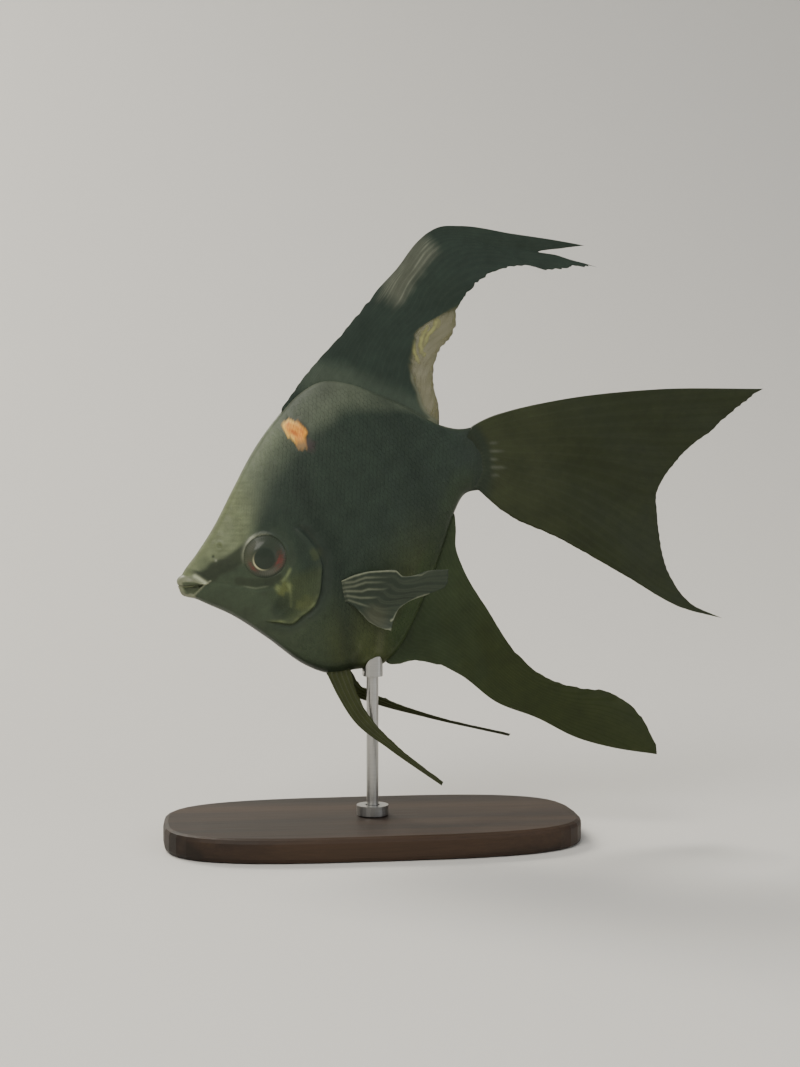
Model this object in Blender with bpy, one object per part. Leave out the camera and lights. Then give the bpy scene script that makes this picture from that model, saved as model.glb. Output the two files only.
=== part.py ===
"""Freshwater angelfish on a display stand: the solids of its body, fins, eyes and stand.

The fish is drawn in its own frame: x runs back from the lips, y to its right flank and z up
to its back. The empty fish_pose then tips it nose-down over the stand, whose underside is
the floor at z = 0. Tables and lengths are in millimetres, and MM turns them into metres.
"""
import math

import bpy
import numpy as np

MM = 0.001
GAP = 0.3                      # clearance kept between neighbouring solids
PITCH = math.radians(20.0)     # nose-down tilt of the swimming fish
SNOUT = (-47.6, 0.0, 64.7)     # where the tip of the snout hangs over the stand

# Outline of the body from lips to tail: (distance back from the snout, height).
BACK = ((-0.6, 0.5), (0.3, 1.3), (1.6, 2.5), (6.0, 5.5), (12.5, 10.5), (20.0, 17.5),
        (28.0, 24.7), (36.3, 30.4), (44.0, 34.3), (50.0, 35.1), (56.0, 32.4), (62.0, 27.4),
        (68.0, 21.7), (74.0, 15.0), (78.0, 12.4), (83.0, 11.3))
BELLY = ((-0.6, -3.0), (1.4, -4.5), (4.6, -7.6), (9.0, -12.0), (15.4, -20.7), (20.7, -28.9),
         (25.5, -33.5), (33.0, -35.6), (40.6, -36.7), (46.0, -34.0), (52.0, -28.6),
         (58.0, -22.2), (64.0, -15.2), (70.0, -8.0), (74.0, -4.7), (78.0, -4.6), (83.0, -5.4))

# Cross-section: greatest half-width, the height it lies at, and the half-width left at the
# ridges of the back and belly.
WIDTH = ((-0.6, 1.0), (0.3, 1.9), (1.6, 2.4), (6.0, 3.2), (12.0, 4.7), (20.0, 6.1),
         (30.0, 7.0), (40.0, 7.1), (50.0, 6.4), (60.0, 5.0), (70.0, 3.5), (78.0, 2.6), (83.0, 1.9))
WIDEST = ((0.0, -1.0), (10.0, -1.8), (22.0, -4.5), (35.0, -6.0), (50.0, -1.0), (65.0, 2.5),
          (83.0, 3.3))
BACK_RIDGE = ((-0.6, 0.6), (6.0, 1.5), (20.0, 1.2), (36.0, 0.9), (70.0, 0.8), (83.0, 1.1))
BELLY_RIDGE = ((-0.6, 0.6), (6.0, 1.3), (20.0, 1.3), (29.0, 2.0), (40.0, 1.3), (60.0, 0.8),
               (83.0, 1.1))
BACK_TAPER = (1.8, 0.9)        # exponents of the section above its widest level
BELLY_TAPER = (2.6, 0.75)      # and below it

# The head ends at the gill slit: (share of the body's depth from the belly, distance back).
GILL_SLIT = ((0.0, 12.8), (0.1, 14.2), (0.18, 17.6), (0.24, 22.2), (0.3, 28.0), (0.36, 31.5),
             (0.44, 33.8), (0.52, 34.4), (0.62, 34.0), (0.8, 31.5), (1.0, 28.0))
GILL_FRONT = ((0.18, 16.0), (0.25, 19.6), (0.35, 24.2), (0.45, 26.5), (0.55, 28.2), (0.64, 29.6))
GILL_LOW, GILL_HIGH = 0.19, 0.62
SLIT_GAP = 0.5                 # the slit runs aslant, so it is wider along the body than GAP
GILL_PROUD = 0.25              # the cover stands this far out of the flank
GILL_DEPTH = 1.1               # and reaches this far into it
POCKET_EXTRA = (0.012, 1.5, 2.5)   # pocket beyond the cover: share of depth, rearwards, outwards

JAW_BACK = 5.8                 # corner of the mouth
MOUTH_LEVEL = (-0.35, -0.27)   # height of the mouth line at the lips, and its slope
MOUTH_GAPE = (0.75, 0.18)      # half the opening at the lips and at the corner
LIP_FRONT = {"upper": 0.1, "lower": -0.6}
STALK_FRONT = 74.6
TAIL_EDGE = ((0.0, 77.6), (0.3, 81.0), (0.6, 82.2), (1.0, 81.2))

EYE_PLACE = (21.7, -0.2)
EYE_RADII = (5.2, 2.9, 5.2)
EYE_SINK = 1.9                 # depth of the eye's centre below the flank

# Fin outlines: points (x, z) that the front edge, the rear edge and the far edge between their
# ends pass through. Both edges start at the fin's root, which follows the body.
DORSAL = {
    "front": ((45.5, 36.2), (57.0, 42.7), (70.0, 50.8), (77.0, 54.5), (84.5, 59.4), (90.0, 60.5),
              (96.0, 59.4), (108.0, 53.2), (124.8, 44.9)),
    "rear": ((75.6, 19.4), (76.3, 24.5), (79.5, 30.5), (86.0, 35.2), (88.5, 39.8), (92.5, 42.8),
             (99.0, 45.2), (110.0, 43.2), (125.6, 38.4)),
    "far": ((114.5, 45.8),),
}
ANAL = {
    "front": ((46.0, -38.7), (52.3, -40.9), (57.0, -45.6), (64.0, -56.2), (72.0, -63.3),
              (80.0, -71.8), (88.0, -77.6), (98.0, -83.2)),
    "rear": ((68.5, -11.0), (67.3, -20.0), (69.7, -33.0), (72.8, -45.5), (77.5, -53.7),
             (84.5, -59.4), (92.0, -63.6), (97.2, -71.0), (98.6, -80.5)),
    "far": (),
}
CAUDAL = {
    "front": ((91.0, 11.9), (105.0, 10.2), (130.0, 4.2), (157.8, -5.4)),
    "rear": ((82.0, -11.8), (93.0, -22.8), (107.0, -38.8), (118.0, -51.2), (128.0, -58.1)),
    "far": ((143.0, -10.5), (131.0, -14.8), (122.5, -21.0), (119.8, -30.0), (118.3, -40.0),
            (120.8, -50.5)),
}
PECTORAL = {
    "front": ((41.0, -12.6), (48.2, -14.1), (54.0, -16.5), (60.2, -18.3)),
    "rear": ((38.4, -22.4), (41.0, -26.2), (43.4, -28.0)),
    "far": ((57.6, -22.1), (49.5, -22.8), (46.2, -25.4)),
}
PELVIC = {
    "left": {"front": ((26.8, -39.5), (28.2, -46.5), (33.7, -55.8), (42.6, -68.4)),
             "rear": ((31.6, -40.5), (32.4, -46.5), (36.0, -55.5), (43.4, -67.8)), "far": ()},
    "right": {"front": ((28.6, -39.0), (34.0, -44.6), (46.5, -54.6), (65.9, -68.5)),
              "rear": ((33.4, -39.3), (39.3, -46.3), (48.5, -54.6), (66.4, -67.7)), "far": ()},
}
DORSAL_ROOT = (37.0, 74.2)     # stretch of the back that carries the dorsal fin
ANAL_ROOT = (42.2, 72.0)       # and of the belly that carries the anal fin
PECTORAL_ROOT = ((37.6, -12.7), (36.6, -18.2))
PELVIC_ROOT = (26.0, 31.8)
PELVIC_SPREAD = (1.2, 14.0)    # distance of the root from the midline, and flare in degrees
PECTORAL_FLARE = 20.0          # degrees between the fin and the flank
FIN_THICK = {"dorsal": (1.4, 0.6), "anal": (1.4, 0.6), "caudal": (1.8, 0.6),
             "pectoral": (0.9, 0.5), "pelvic": (0.9, 0.6)}
FIN_SWAY = {"dorsal": 2.5, "anal": -2.0, "caudal": 4.0}

# Fineness of the grids: columns along each stretch of the body, and columns and rows of each fin.
BODY_COLUMNS = {"head": 10, "trunk": 18, "tail_stalk": 4}
STALK_ROWS = 9
COVER_GRID = (6, 10)
JAW_GRID = (8, 5)
FIN_GRID = {"dorsal": (20, 19), "anal": (16, 18), "caudal": (17, 14), "pectoral": (12, 7),
            "pelvic": (6, 11)}
ROUND_SIDES = 24

BASE_SIZE = (104.0, 52.0, 6.0)
BASE_CORNER = 3.2              # exponent of the base's rounded outline
BASE_EDGE = 1.2
ROD_RADIUS = 1.5
ROD_DEPTH = 4.0                # how deep the rod stands in the base
SADDLE_SIZE = (5.0, 7.0, 5.0)
SADDLE_LEVEL = 41.2            # underside of the saddle that cups the belly
SADDLE_ROOM = (30.0, 46.0, 0.4)    # stretch and share of the belly it is hollowed out for
BASE_SIDES = 44
CUT_PAST = 5.0                 # a cutter runs this far past the face it opens
COLLAR_SIZE = (4.0, 2.4)       # radius and height

BLACK_SKIN = ((0.022, 0.026, 0.018), 0.42, 0.0)
BLACK_FIN = ((0.026, 0.028, 0.014), 0.48, 0.0)
OLIVE_GILL = ((0.060, 0.070, 0.028), 0.38, 0.0)
PALE_LIP = ((0.130, 0.140, 0.080), 0.40, 0.0)
CLEAR_FIN = ((0.070, 0.080, 0.045), 0.35, 0.0)
DARK_EYE = ((0.030, 0.022, 0.014), 0.08, 0.0)
DARK_WOOD = ((0.045, 0.026, 0.016), 0.38, 0.0)
STEEL = ((0.520, 0.520, 0.500), 0.26, 1.0)


def smooth(knots, at):
    """Smooth values at the places `at`, through (place, value, ...) knots, by cubic pieces."""
    table = np.array(knots, dtype=float)
    places, values = table[:, 0], table[:, 1:]
    slopes = np.gradient(values, places, axis=0)
    at = np.asarray(at, dtype=float)
    i = np.clip(np.searchsorted(places, at) - 1, 0, len(places) - 2)
    step = (places[i + 1] - places[i])[..., None]
    t = np.clip((at - places[i])[..., None] / step, 0.0, 1.0)
    near = values[i] * (1 + 2 * t) * (1 - t) ** 2 + slopes[i] * step * t * (1 - t) ** 2
    far = values[i + 1] * t * t * (3 - 2 * t) - slopes[i + 1] * step * t * t * (1 - t)
    return near + far


def line(knots, at):
    """Smooth single values, for tables of pairs."""
    return smooth(knots, at)[..., 0]


def half_width(x, z):
    """Half the body's width at a point of its side view: a lens that ends in narrow ridges."""
    level = line(WIDEST, x)
    upper = z > level
    reach = np.where(upper, line(BACK, x) - level, level - line(BELLY, x))
    c = np.clip(np.abs(z - level) / reach, 0.0, 1.0)
    back = (1 - c ** BACK_TAPER[0]) ** BACK_TAPER[1]
    belly = (1 - c ** BELLY_TAPER[0]) ** BELLY_TAPER[1]
    ridge = np.where(upper, line(BACK_RIDGE, x), line(BELLY_RIDGE, x))
    return ridge + (line(WIDTH, x) - ridge) * np.where(upper, back, belly)


def material(name, look):
    colour, roughness, metallic = look
    made = bpy.data.materials.new(name)
    made.use_nodes = True
    shader = made.node_tree.nodes["Principled BSDF"]
    shader.inputs["Base Color"].default_value = (*colour, 1.0)
    shader.inputs["Roughness"].default_value = roughness
    shader.inputs["Metallic"].default_value = metallic
    made.diffuse_color = (*colour, 1.0)
    return made


def add_object(name, verts, faces, look, parent=None):
    """A smooth-shaded mesh object from millimetre points, under its parent."""
    mesh = bpy.data.meshes.new(name)
    mesh.from_pydata((np.asarray(verts) * MM).tolist(), [], faces)
    mesh.shade_smooth()
    mesh.set_sharp_from_angle(angle=math.radians(40.0))
    mesh.materials.append(material(name, look))
    made = bpy.data.objects.new(name, mesh)
    bpy.context.scene.collection.objects.link(made)
    made.parent = parent
    return made


def plate(name, x, z, left, right, look, parent):
    """A closed solid between two sheets over one grid of the side view, joined at its rim."""
    columns, rows = x.shape
    count = columns * rows
    sheets = [np.stack([x, y, z], axis=-1).reshape(count, 3) for y in (left, right)]
    cells = [(i * rows + j, (i + 1) * rows + j, (i + 1) * rows + j + 1, i * rows + j + 1)
             for i in range(columns - 1) for j in range(rows - 1)]
    faces = list(cells)
    faces += [tuple(count + corner for corner in reversed(cell)) for cell in cells]
    rim = [i * rows for i in range(columns)]
    rim += [(columns - 1) * rows + j for j in range(1, rows)]
    rim += [i * rows + rows - 1 for i in range(columns - 2, -1, -1)]
    rim += [j for j in range(rows - 2, 0, -1)]
    faces += [(b, a, a + count, b + count) for a, b in zip(rim, rim[1:] + rim[:1])]
    turn = np.gradient(x, axis=0) * np.gradient(z, axis=1) - np.gradient(x, axis=1) * np.gradient(z, axis=0)
    if turn.sum() < 0.0:
        faces = [tuple(reversed(face)) for face in faces]
    return add_object(name, np.concatenate(sheets), faces, look, parent)


def cut(target, cutter):
    """Takes the cutter out of the target, and keeps the cutter as a hidden guide."""
    cutter.hide_render = True
    cutter.display_type = "WIRE"
    boolean = target.modifiers.new(cutter.name, "BOOLEAN")
    boolean.operation = "DIFFERENCE"
    boolean.object = cutter


def body_rows():
    """Shares of the depth for the body's rows, closer together where the gill covers lie."""
    below = np.linspace(0.0, GILL_LOW, 5)[:-1]
    above = np.linspace(GILL_HIGH, 1.0, 6)[1:]
    return np.concatenate((below, gill_rows(), above))


def gill_rows():
    return np.linspace(GILL_LOW, GILL_HIGH, COVER_GRID[1])


def body_grid(front, rear, columns, shares):
    """Grid over a stretch of the body. front and rear give x for a share of the depth."""
    share = np.asarray(shares)[None, :]
    along = np.linspace(0.0, 1.0, columns)[:, None]
    x = front(share) + along * (rear(share) - front(share))
    z = line(BELLY, x) + share * (line(BACK, x) - line(BELLY, x))
    return x, z


def slit(share):
    return line(GILL_SLIT, share)


def upright(x):
    """An end of a body grid that stands straight up at x."""
    return lambda share: x + np.zeros_like(share)


def flesh(name, front, rear, shares, pose):
    x, z = body_grid(front, rear, BODY_COLUMNS[name], shares)
    width = half_width(x, z)
    return plate(name, x, z, -width, width, BLACK_SKIN, pose)


def make_jaw(which, pose):
    """One lip and jaw: a rounded wedge above or below the open mouth line."""
    columns, rows = JAW_GRID
    along = np.linspace(0.0, 1.0, columns)[:, None]
    x = LIP_FRONT[which] + along * (JAW_BACK - LIP_FRONT[which]) + np.zeros((1, rows))
    gape = MOUTH_GAPE[0] + (MOUTH_GAPE[1] - MOUTH_GAPE[0]) * np.clip(x / JAW_BACK, 0.0, 1.0)
    mouth = MOUTH_LEVEL[0] + MOUTH_LEVEL[1] * x
    share = np.linspace(0.0, 1.0, rows)[None, :]
    low, high = (mouth + gape, line(BACK, x)) if which == "upper" else (line(BELLY, x), mouth - gape)
    z = low + share * (high - low)
    width = half_width(x, z)
    plate(f"{which}_jaw", x, z, -width, width, PALE_LIP, pose)


def make_gill_cover(side, head, pose):
    """The gill cover lies in a pocket cut out of the head's flank."""
    sign = -1.0 if side == "left" else 1.0

    def region(gap, extra):
        shares = gill_rows()
        shares[0] -= extra[0]
        shares[-1] += extra[0]
        x, z = body_grid(lambda share: line(GILL_FRONT, share) - gap,
                         lambda share: slit(share) + extra[1], COVER_GRID[0], shares)
        width = half_width(x, z)
        outer = sign * (width + GILL_PROUD + extra[2])
        inner = sign * (width - GILL_DEPTH - gap)
        return x, z, np.minimum(inner, outer), np.maximum(inner, outer)

    cut(head, plate(f"pocket_{side}", *region(GAP, POCKET_EXTRA), OLIVE_GILL, pose))
    plate(f"gill_cover_{side}", *region(0.0, (0.0, 0.0, 0.0)), OLIVE_GILL, pose)


def ball(name, centre, radii, look, parent, segments=16, rings=8):
    """An ellipsoid whose poles point out to the two flanks."""
    verts = [(0.0, -1.0, 0.0)]
    for ring in range(1, rings):
        tilt = math.pi * ring / rings
        for k in range(segments):
            turn = 2 * math.pi * k / segments
            verts.append((math.sin(tilt) * math.cos(turn), -math.cos(tilt),
                          math.sin(tilt) * math.sin(turn)))
    verts.append((0.0, 1.0, 0.0))
    faces = []
    for k in range(segments):
        after = (k + 1) % segments
        faces.append((0, 1 + k, 1 + after))
        for ring in range(rings - 2):
            low, high = 1 + ring * segments, 1 + (ring + 1) * segments
            faces.append((low + k, high + k, high + after, low + after))
        last = 1 + (rings - 2) * segments
        faces.append((last + after, last + k, len(verts) - 1))
    made = add_object(name, np.array(verts) * np.array(radii), faces, look, parent)
    made.location = [value * MM for value in centre]
    return made


def make_eye(side, head, pose):
    sign = -1.0 if side == "left" else 1.0
    x, z = EYE_PLACE
    depth = float(half_width(x, z)) - EYE_SINK
    centre = (x, sign * depth, z)
    socket = tuple(radius + GAP for radius in EYE_RADII)
    cut(head, ball(f"socket_{side}", centre, socket, DARK_EYE, pose))
    ball(f"eye_{side}", centre, EYE_RADII, DARK_EYE, pose)


def edge(points, count):
    """Evenly spaced points of a smooth curve through the points given."""
    points = np.array(points, dtype=float)
    steps = np.hypot(*np.diff(points, axis=0).T)
    length = np.concatenate(([0.0], np.cumsum(steps)))
    return smooth(np.column_stack((length / length[-1], points)), np.linspace(0.0, 1.0, count))


def web(outline, root, columns, rows):
    """Grid of a fin: straight blends between its front and rear edge, eased to root and far edge."""
    front = edge((root[0], *outline["front"]), rows)
    rear = edge((root[-1], *outline["rear"]), rows)
    far = edge((outline["front"][-1], *outline["far"], outline["rear"][-1]), columns)
    across = np.linspace(0.0, 1.0, columns)[:, None, None]
    along = np.linspace(0.0, 1.0, rows)[None, :, None]
    grid = (1 - across) * front[None] + across * rear[None]
    at_root, at_far = grid[:, :1].copy(), grid[:, -1:].copy()
    grid += (1 - along) ** 2 * (np.array(root)[:, None] - at_root)
    grid += along ** 2 * (far[:, None] - at_far)
    return grid[..., 0], grid[..., 1]


def tapered(kind):
    """Half the fin's thickness over its grid, thinner towards its far edge."""
    columns, rows = FIN_GRID[kind]
    thick = FIN_THICK[kind]
    return 0.5 * np.linspace(thick[0], thick[1], rows)[None, :] * np.ones((columns, 1))


def make_fin(kind, outline, root, pose):
    """A fin on the midline, bent gently to one side towards its tips."""
    x, z = web(outline, root, *FIN_GRID[kind])
    half = tapered(kind)
    sway = FIN_SWAY[kind] * np.linspace(0.0, 1.0, FIN_GRID[kind][1])[None, :] ** 2
    plate(f"{kind}_fin", x, z, sway - half, sway + half, BLACK_FIN, pose)


def along_body(knots, ends, kind, clearance):
    """Root line of a fin on the back or belly, just clear of the body."""
    x = np.linspace(*ends, FIN_GRID[kind][0])
    slope = line(knots, x + 0.5) - line(knots, x - 0.5)
    lift = clearance / np.hypot(1.0, slope)
    return np.stack((x - slope * lift, line(knots, x) + lift), axis=-1)


def tail_root():
    """Root line of the tail fin, round the rear end of the stalk from top to bottom."""
    share = np.linspace(1.0, 0.0, FIN_GRID["caudal"][0])
    x = line(TAIL_EDGE, share) + GAP
    return np.stack((x, line(BELLY, x) + share * (line(BACK, x) - line(BELLY, x))), axis=-1)


def make_pectoral(side, pose):
    """The breast fin leaves the flank behind the gill slit and stands off it to its tip."""
    sign = -1.0 if side == "left" else 1.0
    root = np.linspace(*np.array(PECTORAL_ROOT), FIN_GRID["pectoral"][0])
    x, z = web(PECTORAL, root, *FIN_GRID["pectoral"])
    half = tapered("pectoral")
    foot = half_width(x[:, :1], z[:, :1]) + GAP + half[:, :1]
    reach = np.hypot(x - x[:, :1], z - z[:, :1])
    out = sign * (foot + reach * math.tan(math.radians(PECTORAL_FLARE)))
    plate(f"pectoral_fin_{side}", x, z, out - half, out + half, CLEAR_FIN, pose)


def make_pelvic(side, pose):
    """The pelvic fin is a long feeler under the belly, with a short web behind it."""
    sign = -1.0 if side == "left" else 1.0
    root = along_body(BELLY, PELVIC_ROOT, "pelvic", -GAP)
    x, z = web(PELVIC[side], root, *FIN_GRID["pelvic"])
    half = tapered("pelvic")
    reach = np.hypot(x - x[:, :1], z - z[:, :1])
    out = sign * (PELVIC_SPREAD[0] + reach * math.tan(math.radians(PELVIC_SPREAD[1])))
    plate(f"pelvic_fin_{side}", x, z, out - half, out + half, BLACK_FIN, pose)


def prism(name, outline, low, high, look):
    """An upright solid with the same outline at its lower and upper face."""
    count = len(outline)
    verts = [(x, y, low) for x, y in outline] + [(x, y, high) for x, y in outline]
    faces = [tuple(range(count - 1, -1, -1)), tuple(range(count, 2 * count))]
    faces += [(k, (k + 1) % count, count + (k + 1) % count, count + k) for k in range(count)]
    return add_object(name, verts, faces, look)


def superellipse(length, width, power, count=ROUND_SIDES):
    turns = [2 * math.pi * k / count for k in range(count)]
    return [(0.5 * length * math.copysign(abs(math.cos(turn)) ** (2 / power), math.cos(turn)),
             0.5 * width * math.copysign(abs(math.sin(turn)) ** (2 / power), math.sin(turn)))
            for turn in turns]


def bevel(target, width, segments):
    made = target.modifiers.new("rounded edge", "BEVEL")
    made.width = width * MM
    made.segments = segments
    made.limit_method = "ANGLE"
    made.angle_limit = math.radians(50.0)


def ring(name, inner, outer, low, high, look, count=ROUND_SIDES):
    """A collar: a short tube with flat ends."""
    turns = [2 * math.pi * k / count for k in range(count)]
    verts = [(radius * math.cos(turn), radius * math.sin(turn), z)
             for radius, z in ((inner, low), (outer, low), (outer, high), (inner, high))
             for turn in turns]
    faces = [(side * count + k, side * count + (k + 1) % count,
              ((side + 1) % 4) * count + (k + 1) % count, ((side + 1) % 4) * count + k)
             for side in range(4) for k in range(count)]
    return add_object(name, verts, faces, look)


def make_stand(pose):
    """A flat base, a rod with a collar, and a small saddle that cups the keel of the belly."""
    length, width, height = BASE_SIZE
    outline = superellipse(length, width, BASE_CORNER, BASE_SIDES)
    base = prism("stand_base", outline, 0.0, height, DARK_WOOD)
    socket = prism("rod_socket", superellipse(2 * (ROD_RADIUS + GAP), 2 * (ROD_RADIUS + GAP), 2),
                   height - ROD_DEPTH, height + CUT_PAST, DARK_WOOD)
    bevel(base, BASE_EDGE, 2)
    cut(base, socket)
    prism("stand_rod", superellipse(2 * ROD_RADIUS, 2 * ROD_RADIUS, 2),
          height - ROD_DEPTH + GAP, SADDLE_LEVEL - GAP, STEEL)
    ring("stand_collar", ROD_RADIUS + GAP, COLLAR_SIZE[0], height + GAP,
         height + GAP + COLLAR_SIZE[1], STEEL)
    saddle = prism("stand_saddle", superellipse(SADDLE_SIZE[0], SADDLE_SIZE[1], 3),
                   SADDLE_LEVEL, SADDLE_LEVEL + SADDLE_SIZE[2], STEEL)
    front, rear, top = SADDLE_ROOM
    x, z = body_grid(upright(front), upright(rear), STALK_ROWS, np.linspace(0.0, top, STALK_ROWS))
    z[:, 0] -= GAP
    room = half_width(x, z) + GAP
    cut(saddle, plate("belly_room", x, z, -room, room, BLACK_SKIN, pose))


def main():
    for old in list(bpy.data.objects):
        bpy.data.objects.remove(old, do_unlink=True)

    pose = bpy.data.objects.new("fish_pose", None)
    bpy.context.scene.collection.objects.link(pose)
    pose.location = tuple(value * MM for value in SNOUT)
    pose.rotation_euler = (0.0, -PITCH, 0.0)

    head = flesh("head", upright(JAW_BACK + GAP), slit, body_rows(), pose)
    flesh("trunk", lambda share: slit(share) + SLIT_GAP, upright(STALK_FRONT), body_rows(), pose)
    flesh("tail_stalk", upright(STALK_FRONT + GAP), lambda share: line(TAIL_EDGE, share),
          np.linspace(0.0, 1.0, STALK_ROWS), pose)
    for which in ("upper", "lower"):
        make_jaw(which, pose)
    for side in ("left", "right"):
        make_gill_cover(side, head, pose)
        make_eye(side, head, pose)
        make_pectoral(side, pose)
        make_pelvic(side, pose)
    make_fin("dorsal", DORSAL, along_body(BACK, DORSAL_ROOT, "dorsal", GAP), pose)
    make_fin("anal", ANAL, along_body(BELLY, ANAL_ROOT, "anal", -GAP), pose)
    make_fin("caudal", CAUDAL, tail_root(), pose)
    make_stand(pose)


main()
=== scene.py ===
# A freshwater angelfish as a still model on a display stand: skin, scales, eyes, fins, stand and studio.
# Lengths are millimetres in the fish's own frame (x back from the lips, y to its right flank, z up to
# its back) until toRoom tips them nose-down over the stand and turns them into metres.
import math

import bpy
import numpy as np
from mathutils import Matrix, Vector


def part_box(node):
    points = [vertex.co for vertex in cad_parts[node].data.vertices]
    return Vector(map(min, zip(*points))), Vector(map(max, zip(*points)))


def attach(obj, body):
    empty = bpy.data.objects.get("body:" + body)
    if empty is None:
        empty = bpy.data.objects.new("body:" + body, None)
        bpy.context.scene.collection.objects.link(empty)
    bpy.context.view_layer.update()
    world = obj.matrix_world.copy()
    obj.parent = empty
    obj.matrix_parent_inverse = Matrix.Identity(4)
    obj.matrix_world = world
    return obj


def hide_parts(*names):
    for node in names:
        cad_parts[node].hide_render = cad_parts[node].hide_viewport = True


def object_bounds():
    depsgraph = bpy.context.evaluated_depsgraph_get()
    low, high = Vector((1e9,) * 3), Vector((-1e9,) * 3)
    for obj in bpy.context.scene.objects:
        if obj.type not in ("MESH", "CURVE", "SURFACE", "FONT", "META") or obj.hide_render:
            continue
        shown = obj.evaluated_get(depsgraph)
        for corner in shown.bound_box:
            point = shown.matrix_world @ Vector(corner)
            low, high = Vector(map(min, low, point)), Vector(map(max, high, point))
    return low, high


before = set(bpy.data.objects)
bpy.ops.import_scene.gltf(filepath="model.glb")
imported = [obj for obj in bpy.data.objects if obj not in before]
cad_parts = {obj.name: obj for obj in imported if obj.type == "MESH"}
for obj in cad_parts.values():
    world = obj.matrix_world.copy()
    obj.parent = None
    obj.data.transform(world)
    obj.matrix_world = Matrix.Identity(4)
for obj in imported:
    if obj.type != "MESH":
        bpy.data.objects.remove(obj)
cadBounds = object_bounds()

mm = 0.001
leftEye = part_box("eye_left")
bothSides = (("left", -1.0), ("right", 1.0))     # each flank and its direction along y

# the side view of the body: (distance back from the lips, value) pairs
body = {
    "back": ((-0.6, 0.5), (0.3, 1.3), (1.6, 2.5), (6.0, 5.5), (12.5, 10.5), (20.0, 17.5),
             (28.0, 24.7), (36.3, 30.4), (44.0, 34.3), (50.0, 35.1), (56.0, 32.4), (62.0, 27.4),
             (68.0, 21.7), (74.0, 15.0), (78.0, 12.4), (83.0, 11.3)),
    "belly": ((-0.6, -3.0), (1.4, -4.5), (4.6, -7.6), (9.0, -12.0), (15.4, -20.7), (20.7, -28.9),
              (25.5, -33.5), (33.0, -35.6), (40.6, -36.7), (46.0, -34.0), (52.0, -28.6),
              (58.0, -22.2), (64.0, -15.2), (70.0, -7.6), (74.0, -4.1), (78.0, -4.3),
              (83.0, -5.4)),
    "width": ((-0.6, 1.0), (0.3, 1.9), (1.6, 2.4), (6.0, 3.2), (12.0, 4.7), (20.0, 6.1),
              (30.0, 7.0), (40.0, 7.1), (50.0, 6.4), (60.0, 5.0), (70.0, 3.5), (78.0, 2.6),
              (83.0, 1.9)),
    "widest": ((0.0, -1.0), (10.0, -1.8), (22.0, -4.5), (35.0, -6.0), (50.0, -1.0), (65.0, 2.5),
               (83.0, 3.3)),
    "backRidge": ((-0.6, 0.6), (6.0, 1.5), (20.0, 1.2), (36.0, 0.9), (70.0, 0.8), (83.0, 1.1)),
    "bellyRidge": ((-0.6, 0.6), (6.0, 1.3), (20.0, 1.3), (29.0, 2.0), (40.0, 1.3), (60.0, 0.8),
                   (83.0, 1.1)),
    "backTaper": (1.8, 0.9),
    "bellyTaper": (2.6, 0.75),
    "ridgeRound": 1.3,         # how far down from a ridge its rounding reaches, in ridge widths
    "tailEdge": ((0.0, 77.6), (0.3, 81.0), (0.6, 82.2), (1.0, 81.2)),
    "inset": 0.22,             # the skin lies this far inside the solids, for the scales
}
fishPose = {"pitch": math.radians(20.0), "eyePlace": (21.7, -0.2)}


def smooth(knots, at):
    # smooth values through (place, value, ...) knots: cubic pieces with the knots' own slopes
    table = np.array(knots, dtype=float)
    places, values = table[:, 0], table[:, 1:]
    slopes = np.gradient(values, places, axis=0)
    at = np.asarray(at, dtype=float)
    i = np.clip(np.searchsorted(places, at) - 1, 0, len(places) - 2)
    step = (places[i + 1] - places[i])[..., None]
    t = np.clip((at - places[i])[..., None] / step, 0.0, 1.0)
    near = values[i] * (1 + 2 * t) * (1 - t) ** 2 + slopes[i] * step * t * (1 - t) ** 2
    far = values[i + 1] * t * t * (3 - 2 * t) - slopes[i + 1] * step * t * t * (1 - t)
    return near + far


def line(knots, at):
    # the one value of smooth through (place, value) knots
    return smooth(knots, at)[..., 0]


def ease(low, high, at):
    # 0 below low, 1 above high, and 3t^2 - 2t^3 between them; low may lie above high
    t = np.clip((np.asarray(at, dtype=float) - low) / (high - low), 0.0, 1.0)
    return t * t * (3 - 2 * t)


def bump(at, centre, reach):
    # a bell: e to the power of minus the squared distance in reaches
    return np.exp(-((np.asarray(at, dtype=float) - centre) / reach) ** 2)


def spaced(count, low, high, crowd):
    # places from low to high, closer together where crowd is larger: equal cuts of its running sum
    fine = np.linspace(low, high, 4000)
    total = np.cumsum(crowd(fine))
    total = (total - total[0]) / (total[-1] - total[0])
    return np.interp(np.linspace(0.0, 1.0, count), total, fine)


def ripple(x, z, size, seed, waves=7):
    # an even, repeatable roughness about 0: a sum of sine waves of one size in seeded directions
    turns = np.random.default_rng(seed).uniform(0.0, 2 * math.pi, (waves, 2))
    stretch = np.linspace(0.7, 1.45, waves)
    total = 0.0
    for (heading, phase), scale in zip(turns, stretch):
        run = x * math.cos(heading) + z * math.sin(heading)
        total = total + np.sin(2 * math.pi * scale * run / size + phase)
    return total / waves


def nearLine(x, z, points):
    # distance from each place to a run of straight pieces, and how far along it (0 to 1) that is
    points = np.array(points, dtype=float)
    best = np.full(np.shape(x), 1e9)
    share = np.zeros(np.shape(x))
    count = len(points) - 1
    for k, ((x0, z0), (x1, z1)) in enumerate(zip(points[:-1], points[1:])):
        dx, dz = x1 - x0, z1 - z0
        t = np.clip(((x - x0) * dx + (z - z0) * dz) / (dx * dx + dz * dz), 0.0, 1.0)
        away = np.hypot(x - x0 - t * dx, z - z0 - t * dz)
        share = np.where(away < best, (k + t) / count, share)
        best = np.minimum(away, best)
    return best, share


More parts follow.
